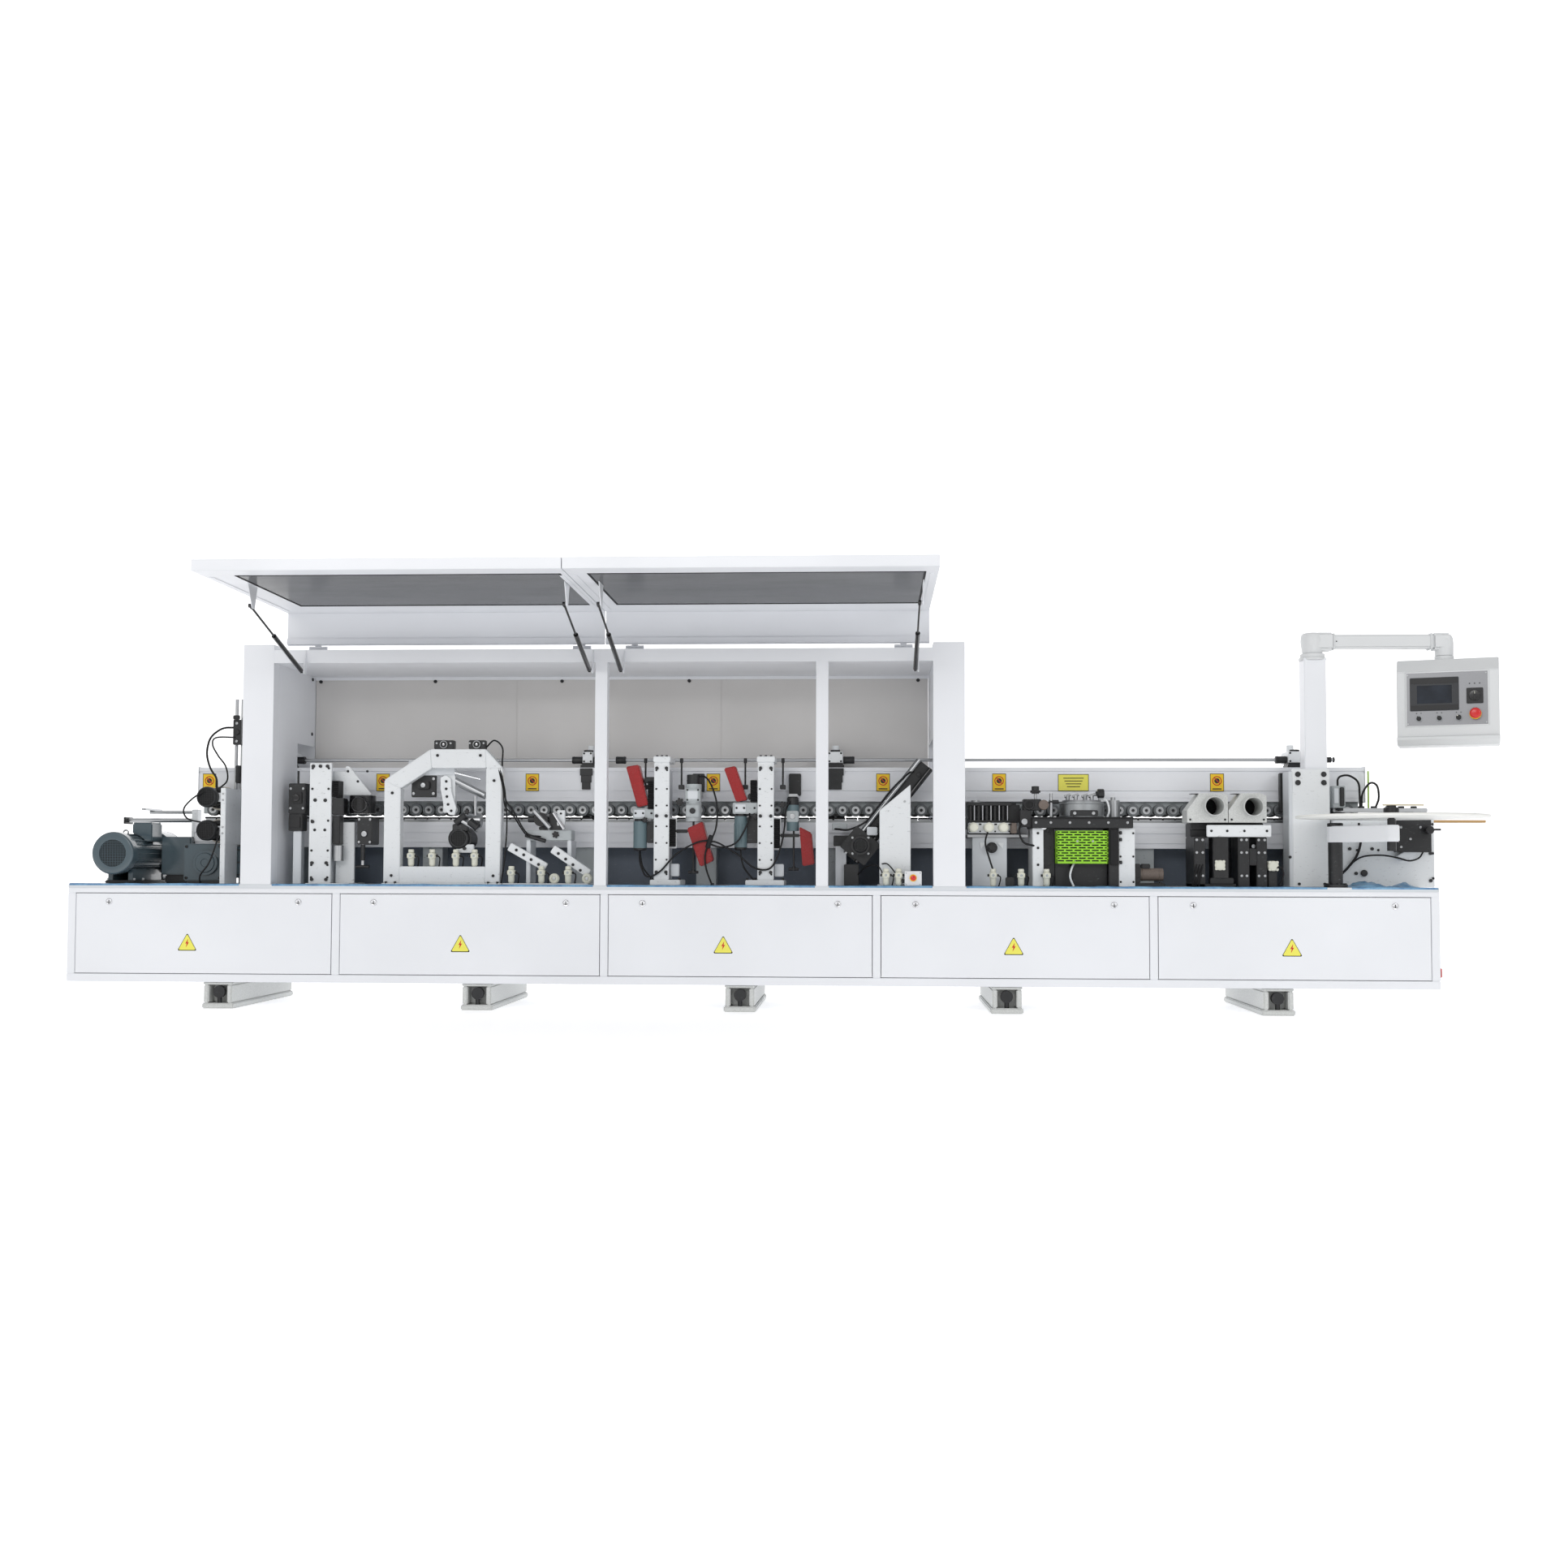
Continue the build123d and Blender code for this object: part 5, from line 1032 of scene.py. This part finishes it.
cutoff.screws(((690, 1000), (780, 1000), (690, 640), (780, 640)), -350, 6, 4, STEEL)
cutoff.pipe([(444, -212, 872), (513, -245, 868), (592, -245, 904), (640, -245, 960), (720, -245, 1062),
    (800, -240, 1140), (826, -212, 1150)], 5, CABLE)
cutoff.pipe([(690, -398, 612), (655, -392, 690), (600, -320, 690), (556, -236, 650)], 3.2, CABLE)
cutoff.pipe([(742, -398, 650), (700, -384, 700), (668, -342, 702)], 3.2, CABLE)
cutoff.done()
saw = dress("end_trim_saw", BLACK, {"black_gloss": (1,)}, bevel=3, keep=(0, 1))
fan_cover(saw, (569, -334, 790), 36, 12, BLACK, 27, 5)
for dx, dz in ((-38, -38), (38, -38), (-38, 38), (38, 38)):
    saw.screw(569 + dx, -268, 790 + dz, 6, 5, STEEL)
saw.block((600, 650), (-280, -266), (840, 880), BED, 3)
saw.done()


# ---- press rollers
press = dress("press_frame", BLACK, {BED: (1, 10), STEEL: (2,), IVORY: (11, 12, 13)}, bevel=2)
for x in (1108, 1182, 1252):
    press.turn((x, -338, 878), "+y", [(0, 15), (2, 18), (5, 20), (8, 22)], IVORY, 28)
    press.bar(x, (-330, -322), 878, 23.5, IVORY, 2, 28)
    press.bar((x + 27, x + 40), -300, 893, 4, PLASTIC, 1, 10)
press.block((1088, 1292), (-246, -230), (852, 902), WHITE, 3)
press.block((1288, 1316), (-300, -234), (850, 900), "brown_cylinder", 3)
press.add(BLACK, (1084, 1298, -222, -188, 986, 1002, 2), (1084, 1298, -226, -190, 905, 914, 2),
    (1201, (-262, -232), 782, 26, 4))
press.block((1085, 1375), (-236, -228), (832, 845), STEEL, 1)
press.screws(product((1096, 1145, 1217, 1284), (860, 894)), -246, 4, 3)
for index in range(5):
    x = 1100 + index * 40
    press.bar(x, -200, (908, 986), 13, "black_gloss", 2, 20)
    press.bar(x + 20, -212, (908, 1000), 4, "chromed_rod", 1, 12)
star_knob(press, (1201, -266, 782), (0, -1, 0), 22, 16)
for x in (1159, 1243):
    triangle = [(x - 16, 806), (x + 16, 806), (x + (10 if x > 1200 else -10), 776)]
    press.prism(triangle, (-238, -230), WHITE, bevel=1)
press.pipe([(1178, -300, 860), (1166, -304, 800), (1190, -312, 710), (1210, -320, 650)], 4.4, CABLE)
press.done()
wheel = dress("press_roller_large", STEEL, bevel=3)
wheel.turn((1130, -124, 870), "+z", [(0, 47), (3, 48.6), (131, 48.6), (134, 47)], "roller_rubber", 48)
wheel.done()


# ---- glue unit
glue = dress("glue_unit", BLACK, {"galvanised": (3,), "silver_panel": (4,), STEEL: (5, 7, 9),
    WHITE: (12, 13)}, bevel=2.5)
for z in (932, 990):
    glue.ring((1627, -275, z), (0, 0, 1), 105, 2.4, "galvanised", 48, 8)
for x, key in ((1558, "galvanised"), (1596, STEEL), (1640, "galvanised"), (1672, STEEL)):
    glue.bar(x, -300, (1008, 1032), 10, key, 2, 20)
    glue.rod((x - 16, -300, 1026), (x + 14, -300, 1036), 7, STEEL, 1.5, 16)
glue.add(STEEL, ((1680, 1716), -300, 1036, 8, 2), (1350, (-336, -326), 905, 15, 2))
glue.add(PLASTIC, ((1696, 1728), -318, 1040, 22, 4), (1405, -296, (1050, 1076), 14, 3),
    (1345, 1400, -334, -328, 960, 1012, 2))
glue.bar(1440, (-344, -300), 985, 24, "brown_cylinder", 3)
glue.add(BLACK, ((1466, 1512), -330, 1000, 9, 2), (1560, 1690, -392, -370, 930, 958, 3))
glue.add("bellows_black", (1383, 1857, -378, -369, 918, 926, 1.5), (1750, 1790, -362, -350, 700, 868, 2))
glue.bar(1440, (-352, -340), 880, 14, "chromed_rod", 2)
star_knob(glue, (1708, -322, 1039), (0, 0, 1), 20, 12)
glue.pipe([(1706, -304, 1020), (1738, -326, 1006), (1750, -330, 960), (1740, -330, 922)], 5, WHITE)
star_knob(glue, (1405, -296, 1043), (0, 0, 1), 24, 14)
fan_cover(glue, (1372, -342, 986), 27, 12, PLASTIC, 22, 4.6)
for x in (1580, 1668):
    glue.bar(x, (-394, -386), 944, 8, STEEL, 1.5, 16)
for x in (1400, 1470, 1560, 1650, 1740, 1830):
    glue.screw(x, -370, 900, 6, 4, STEEL)
for x, y in ((1412, -340), (1470, -300), (1767, -350)):
    for z in (700, 780, 850):
        glue.screw(x, y, z, 6, 4)
glue.screws(product((1800, 1860), (620, 740, 850)), -345, 5, 4)
for z in (712, 820, 852):
    glue.bar((1794, 1806), -352, z, 8, BLACK, 1.5, 14)
glue.pipe([(1572, -299, 716), (1566, -340, 664), (1580, -345, 594)], 5, CABLE)
glue.pipe([(1336, -326, 900), (1322, -352, 858), (1344, -354, 806), (1394, -337, 790)], 5, CABLE)
glue.pipe([(1592, -299, 718), (1568, -352, 680), (1562, -356, 640), (1580, -352, 594)], 5, WHITE)
glue.done()

guard = Piece("glue_guard_sheet")
LIME, SHEET, ROWS, SLOTS = "guard_lime", (-352, -349), 12, 6
GUARD_LEFT, GUARD_RIGHT, SLOTS_LOW, SLOTS_HIGH, RIM = 1497, 1742, 710, 858, 4
GUARD_Z = (SLOTS_LOW - RIM, SLOTS_HIGH + RIM)
for low in (SLOTS_LOW - RIM, SLOTS_HIGH):
    guard.block((GUARD_LEFT, GUARD_RIGHT), SHEET, (low, low + RIM), LIME, 0.5)
row_step = (SLOTS_HIGH - SLOTS_LOW) / ROWS
step = (GUARD_RIGHT - GUARD_LEFT) / SLOTS
for row in range(ROWS):
    low = SLOTS_LOW + row * row_step
    guard.block((GUARD_LEFT, GUARD_RIGHT), SHEET, (low, low + row_step * 0.5), LIME, 0.3)
    for index in range(SLOTS + 1):
        x = GUARD_LEFT + index * step - (step / 2 if row % 2 else 0)
        left, right = max(GUARD_LEFT, x - 4.5), min(GUARD_RIGHT, x + 4.5)
        if right - left > 2:
            guard.block((left, right), SHEET, (low + row_step * 0.45, low + row_step), LIME, 0.2)
for x, wide, y, bevel in ((0, 6, SHEET, 0.4), (239, 6, SHEET, 0.4), (0, 3, (-350, -300), 0.5),
                          (242, 3, (-350, -300), 0.5)):
    guard.block((GUARD_LEFT + x, GUARD_LEFT + x + wide), y, GUARD_Z, LIME, bevel)
for x in (1596, 1669):
    guard.bar(x, (-354.5, -351), 812, 9, LIME, 1, 24)
    guard.bar(x, (-358, -353), 812, 5.5, STEEL, 1, 6)
guard.done("glue_guard")
spread = dress("glue_roller", STEEL, bevel=2)
for x, y in around(1800, -112, 32.4, 16):
    spread.bar(x, y, (934, 1010), 1.2, "galvanised", 0.3, 6)
spread.done()


# ---- pre-milling and its dust hoods
mill = dress("premill_unit", BLACK, {"black_gloss": (4,), "brown_cylinder": (5,), WHITE: (7,),
    IVORY: (8, 9)}, bevel=3)
mill.add(PLASTIC, (1908, 1950, -285, -245, 682, 706, 4), (1866, 1900, -312, -300, 640, 690, 3))
mill.bar((2006, 2013), -270, 655, 22, "shadow", 2)
mill.add(BLACK, (2148, 2489, -262, -238, 872, 902, 3), (2148, 2344, -330, -120, 597, 612, 2),
    (2220, 2330, -342, -300, 612, 640, 3))
for x in (1912, 1990):
    mill.ring((x, -270, 655), (1, 0, 0), 30, 1.8, "brown_cylinder", 32, 8)
for x in (1884, 1995):
    mill.bar(x, -295, (612, 620), 7, BLACK, 1.5)
for x, y in ((2160, -330), (2188, -330), (2366, -345), (2390, -345), (2450, -330), (2478, -330)):
    for z in (650, 760, 820):
        mill.screw(x, y, z, 6, 4, STEEL)
for x in (2270, 2430):
    mill.bar(x, (-312, -298), 790, 10, "galvanised", 2)
    mill.block((x - 24, x + 24), (-326, -300), (700, 780), BLACK, 3)
for x, y, z in ((2263, -360, 700), (2515, -345, 697)):
    for px, pz in around(x, z, 24, 4, 45):
        mill.bar(px, (y - 4, y + 6), pz, 7, IVORY, 1.5, 16)
    mill.turn((x, y, z), "-y", [(0, 21), (4, 20)], IVORY, 28)
for x in (2226, 2300, 2380, 2485):
    mill.screw(x, -348, 862, 6, 2)
mill.pipe([(2516, -340, 680), (2546, -352, 692), (2558, -352, 655), (2540, -340, 594)], 4, CABLE)
for index in range(3):
    x = 2160 + index * 14
    mill.pipe([(x, -328, 704), (x - 14, -348, 650), (x - 22, -340, 594)], 3.4, CABLE)
mill.done()

hoods = dress("premill_dust_hoods", "cast_grey", bevel=6, keep=(0, 2))
for x, z in ((2235, 978), (2416, 976)):
    wall = [(0, 46), (58, 46), (61, 45), (62, 43.5), (62, 42.5), (60, 42), (-4, 42), (-4, 46)]
    hoods.lathe((x, -330, z), (x, -331, z), wall, "cast_grey", 48)
    hoods.turn((x, -222, z), "+y", [(0, 41.6), (1, 41.6)], "shadow", 40)
    hoods.ring((x, -334, z), (0, 1, 0), 47, 3, "cast_grey", 40, 8)
for low, high in ((2117, 2308), (2311, 2489)):
    hoods.block((low + 26, low + 92), (-300, -240), (1039, 1041), BLACK, 0.5)
    for x in (low + 14, high - 14):
        hoods.screw(x, -330, 916, 5, 4)
hoods.done()


# ---- infeed column, fence and limit switch
column = dress("infeed_column", WHITE, {BED: (1,), "white_paint": (3,), CAST: (4,), BLACK: (6, 7, 8)},
    bevel=3)
for x in (2659, 2781):
    for z in (1136, 1096):
        column.bar(x, (-246, -239), z, 13, BLACK, 2.5, 24)
        column.bar(x, (-247, -245), z, 5, "shadow", 0.3, 6)
column.screws(((2660, 612), (2780, 612), (2618, 740)), -240, 7, 5)
column.turn((2751, -175, 1688), "+z", [(0, 60), (3, 64), (12, 64), (14, 62), (14, 58), (28, 54), (31, 50)],
    CAST, 48)
column.screws(((2960, 775), (3060, 775), (3318, 900), (3318, 640), (3318, 760)), -150, 6, 5)
column.bar(2990, (-164, -150), 664, 16, PLASTIC, 3)
column.add(BLACK, (3211, (-206, -196), 790, 22, 3), (2608, 2631, -110, -70, 960, 1150, 2))
column.bar(3211, (-212, -205), 790, 15, "duct_red", 2)
clip = [(3130, 742), (3160, 762), (3215, 800), (3238, 776), (3228, 752), (3160, 724)]
column.prism(clip, (-196, -150), BED, bevel=3)
column.pipe([(2920, -147, 700), (2974, -180, 742), (3064, -190, 750), (3135, -200, 738), (3190, -200, 724),
    (3238, -196, 738), (3262, -190, 772)], 4, CABLE)
column.pipe([(2865, -147, 640), (2910, -168, 690), (2955, -168, 752), (2974, -168, 830),
    (2970, -147, 905)], 6, CABLE)
column.done()

fence = dress("infeed_fence", BLACK, {"laminate": (2,), STEEL: (4,), "housing_grey": (5,)}, bevel=3)
fence.bar(3271, (-262, -238), 870, 20, PLASTIC, 4)
fence.add(BLACK, ((3284, 3324), -250, 872, 5), (2878, 2898, -170, -158, 986, 1078, 3),
    (2888, -130, (965, 985), 14, 2))
fence.block((3327, 3578), (-130.5, -129.5), (908.5, 920.5), "board_edge", 0.2)
fence.block((3085, 3280), (-150, -142), (990, 996), "tan_strip", 1)
fence.block((3030, 3036), (-100, -90), (979, 1160), "green_strip", 1)
fence.block((2850, 2872), (-166, -158), (1000, 1072), BED, 2)
fence.screws(((3148, 884), (3148, 790), (3240, 884), (3192, 828)), -215, 6, 5, STEEL)
for x in (3000, 3060, 3130, 3190, 3250):
    fence.bar(x, -90, (979, 989), 15, BLACK, 2, 24)
fence.pipe([(3000, -94, 984), (3003, -104, 1050), (3038, -104, 1100), (3072, -104, 1088),
    (3080, -104, 1030), (3068, -94, 984)], 5, CABLE)
fence.done()


# ---- edge reel
POST, REEL, LINK_SLOPE, LINK_STEPS = (2793, -380), (2976, -630), math.degrees(math.atan2(-250, 183)), 12
post = dress("reel_post", BLACK, bevel=2, keep=(0, 1, 3, 4, 5))
link = []
for centre, first, radius in ((POST, 90, 38), (REEL, -90, 34)):
    link += around(*centre, radius, 2 * LINK_STEPS, LINK_SLOPE + first)[:LINK_STEPS + 1]
post.prism(link, (808, 884), "white_paint", axis="z", bevel=4)
post.turn((*POST, 880), "+z", [(0, 32), (4, 36), (16, 36), (19, 32)], BLACK, 40)
for x, y in around(*POST, 45, 6, 30):
    post.bar(x, y, (609, 617), 6.5, BLACK, 1.5, 14)
post.done()
reel = Piece("reel_plate", "reel_table")
rim = [(0, 415), (1.5, 417), (4, 418), (7, 418), (9.5, 417), (11, 415)]
reel.turn((*REEL, 916), "+z", rim, "laminate", 128)
cap = [(10, 34), (14, 34), (44, 34), (47, 31), (47, 22), (56, 21), (57, 16)]
reel.turn((*REEL, 916), "+z", cap, PLASTIC, 40)
for x, y in around(*REEL, 385, 8):
    reel.bar(x, y, (926, 930), 8, STEEL, 1.5, 16)
reel.done("reel_disc")


# ---- operator arm and console
MAST, NECK, YAW = (2751, -175), (3377, -175), math.radians(-20)
arm = Piece("console_swing_arm", "swing_arm")
hub = [(0, 0), (0, 44), (4, 47), (36, 52), (60, 55), (92, 52), (99, 44), (102, 30), (103, 0)]
arm.lathe((*MAST, 1721), (*MAST, 1722), hub, CAST, 48)
arm.add(CAST, (2760, 2848, -222, -128, 1736, 1822, 12), (2806, 3316, -208, -142, 1746, 1812, 8),
    (3312, 3404, -216, -134, 1738, 1818, 12))
arm.bar(2858, (-210, -207), 1779, 3, BLACK, 0.5, 12)
for x in (2846, 3308):
    arm.block((x - 5, x + 5), (-214, -136), (1740, 1818), CAST, 3)
elbow = [(0, 0), (0, 40), (4, 42), (60, 43), (84, 41), (100, 33), (107, 18), (109, 0)]
arm.lathe((*NECK, 1710), (*NECK, 1711), elbow, CAST, 48)
arm.done("console_arm")

console = Piece("operator_console", "operator_box")
console.place = Matrix.Translation((*NECK, 0)) @ Matrix.Rotation(YAW, 4, "Z")
to_local = console.place.inverted()
shell_corners = [to_local @ (Vector(p) / MM) for face in solids_of("console_box")[0] for p in face]
LEFT, RIGHT = min(c.x for c in shell_corners), max(c.x for c in shell_corners)
outline = [(60, 1273), (60, 1684), (-64, 1688), (-130, 1624), (-130, 1307), (-112, 1273)]
console.prism(outline, (LEFT, RIGHT), CAST, axis="x", bevel=3)
console.prism([(-112, 1273), (-142, 1300), (-142, 1312), (-130, 1316), (-120, 1290)],
    (LEFT - 1, RIGHT + 1), CAST, axis="x", bevel=2)
console.turn((0, 0, 1684), "+z", [(0, 46), (6, 44), (24, 44)], CAST, 48)
console.block((-171, 196), (-133, -129), (1364, 1619), "silver_panel", 1)
console.block((-152, 65), (-140, -132), (1436, 1594), "screen_frame", 3)
console.add(PLASTIC, (-148, 61, -141, -139, 1564, 1590, 0.5), (-148, 61, -141, -139, 1440, 1462, 0.5),
    (98, 171, -142, -132, 1465, 1538, 2), (129, 139, -160, -148, 1482, 1522, 2))
console.block((-120, 34), (-141.2, -139.5), (1470, 1556), "screen", 0.5)
console.bar(134, (-150, -141), 1502, 25, "black_gloss", 2)
console.block((133, 135), (-160.6, -159), (1508, 1520), IVORY, 0.2)
console.bar(63, (-134, -132), 1400, 14, "housing_grey", 0.6, 28)
for x in (-171, 191):
    console.block((x, x + 5), (-135, -129), (1362, 1621), CAST, 1)
for z in (1361, 1617):
    console.block((-171, 196), (-135, -129), (z, z + 5), CAST, 1)
for x in (-161, 184):
    for z in (1375, 1608):
        console.bar(x, (-135.5, -132), z, 3.4, STEEL, 0.6, 14)
for x in (-113, -22):
    console.bar(x, (-138, -132), 1399, 14, "housing_grey", 1.5, 28)
    console.bar(x, (-144, -137), 1399, 11, PLASTIC, 1.5, 24)
    console.prism([(x - 9, 1407), (x - 6, 1411), (x + 9, 1391), (x + 6, 1387)], (-156, -142), PLASTIC,
        bevel=1)
for x in (-113, -22, 63):
    for dx in (-10, 10):
        console.block((x + dx - 2.5, x + dx + 2.5), (-133.6, -132.8), (1423, 1427), PLASTIC, 0.1)
for x in (112, 134, 156):
    console.block((x - 3, x + 3), (-133.6, -132.8), (1557, 1562), PLASTIC, 0.1)
console.lathe((136, -132, 1417), (136, -133, 1417), [(0, 0), (0, 27), (1.5, 27), (2, 0)], "label_yellow",
    36)
console.lathe((136, -132, 1417), (136, -133, 1417), [(1, 13.5), (1, 17), (9, 17), (9, 13.5), (1, 13.5)],
    PLASTIC, 36)
console.done("console_box")

knob = dress("selector_switch", PLASTIC, bevel=1)
knob.place = console.place
knob.prism([(55, 1408), (58, 1412), (71, 1393), (68, 1389)], (-158, -150), PLASTIC, bevel=1)
knob.block((55, 60), (-158.8, -157), (1406, 1410), IVORY, 0.2)
knob.done()
stop = Piece("stop_mushroom", "stop_button")
stop.place = console.place
stop.bar(136, (-138.2, -154), 1417, 12, PLASTIC, 1)
stop.lathe((136, -152, 1417), (136, -153, 1417), [(0, 0), (0, 20), (4, 24.5), (11, 25.5), (16, 23),
    (18, 17), (19, 0)], "stop_red", 40)
stop.done("emergency_stop")


# ---- regulators, screws and leads
regulators = Piece("air_regulators")
for centre in solids_of("pneumatic_regulators")[::3]:
    points = [Vector(p) / MM for face in centre for p in face]
    low = min((p.z for p in points))
    x = (min((p.x for p in points)) + max((p.x for p in points))) / 2
    y = (min((p.y for p in points)) + max((p.y for p in points))) / 2
    regulator(regulators, x, y, low)
    regulators.pipe([(x + 26, y, low + 52), (x + 36, y + 4, low + 40), (x + 30, y + 16, low + 6),
        (x + 26, y + 24, low - 4)], 3, CABLE)
regulators.done("pneumatic_regulators")
dress("socket_screws", bevel=1).done()
dress("machine_cables", bevel=0).done()

# ---- floor, lights and camera
FLOOR_NEAR, FLOOR_FAR, FLOOR_HALF, WALL_HIGH, SWEEP = -12.0, 9.0, 22.0, 14.0, 4.0
profile = [(FLOOR_NEAR, 0.0), (FLOOR_FAR - SWEEP, 0.0)]
for step in range(1, 17):
    a = math.pi / 2 * step / 16
    profile.append((FLOOR_FAR - SWEEP + SWEEP * math.sin(a), SWEEP - SWEEP * math.cos(a)))
profile.append((FLOOR_FAR, WALL_HIGH))
points = [(x, y, z) for x in (-FLOOR_HALF, FLOOR_HALF) for y, z in profile]
faces = [(i, i + 1, i + 1 + len(profile), i + len(profile)) for i in range(len(profile) - 1)]
mesh = bpy.data.meshes.new("studio_sweep")
mesh.from_pydata(points, [], faces)
for polygon in mesh.polygons:
    polygon.use_smooth = True
studio = coated("studio_white", (249, 249, 250), 0.7, patch=0.004, depth=0.00001)
glow = studio.node_tree.nodes["Principled BSDF"].inputs
glow["Emission Color"].default_value = (1.0, 1.0, 1.0, 1.0)
glow["Emission Strength"].default_value = 0.42
mesh.materials.append(studio)
sweep = bpy.data.objects.new("studio_sweep", mesh)
bpy.context.scene.collection.objects.link(sweep)

world = bpy.data.worlds.new("studio")
world.use_nodes = True
background = world.node_tree.nodes["Background"]
background.inputs["Color"].default_value = (1.0, 1.0, 1.0, 1.0)
background.inputs["Strength"].default_value = 0.6
bpy.context.scene.world = world


def lamp(name, place, target, size, watts, colour=(1.0, 1.0, 1.0)):
    data = bpy.data.lights.new(name, "AREA")
    data.shape = "RECTANGLE"
    data.size, data.size_y = size
    data.energy = watts
    data.color = colour
    obj = bpy.data.objects.new(name, data)
    obj.location = place
    obj.rotation_euler = (Vector(target) - Vector(place)).to_track_quat("-Z", "Y").to_euler()
    bpy.context.scene.collection.objects.link(obj)


lamp("key", (-3.0, -10.5, 4.6), (-0.5, 0.0, 0.7), (6.0, 2.5), 190, (1.0, 0.99, 0.98))
lamp("fill", (6.5, -9.0, 3.8), (2.2, 0.0, 0.7), (3.0, 2.0), 90, (0.97, 0.98, 1.0))
lamp("back_wash", (0.0, 3.0, 5.0), (0.0, 9.0, 4.0), (12.0, 3.0), 210)

YAW_LEFT, PITCH_UP, ROLL = 0.0498, 0.0445, 0.0027
level = Vector((-math.sin(YAW_LEFT), math.cos(YAW_LEFT), 0.0))
forward = level * math.cos(PITCH_UP) + Vector((0.0, 0.0, math.sin(PITCH_UP)))
right = Vector((math.cos(YAW_LEFT), math.sin(YAW_LEFT), 0.0))
upward = right.cross(forward)
across = right * math.cos(ROLL) + upward * math.sin(ROLL)
rising = upward * math.cos(ROLL) - right * math.sin(ROLL)
camera = bpy.data.cameras.new("camera")
camera.lens = 38.19
camera.sensor_width = 36.0
camera.shift_y = 0.00635
camera.clip_end = 200.0
view = bpy.data.objects.new("camera", camera)
place = Matrix((across, rising, -forward)).transposed().to_4x4()
place.translation = Vector((0.59956, -8.29953, 0.68127))
view.matrix_world = place
bpy.context.scene.collection.objects.link(view)
bpy.context.scene.camera = view
bpy.context.scene.view_settings.view_transform = "Standard"
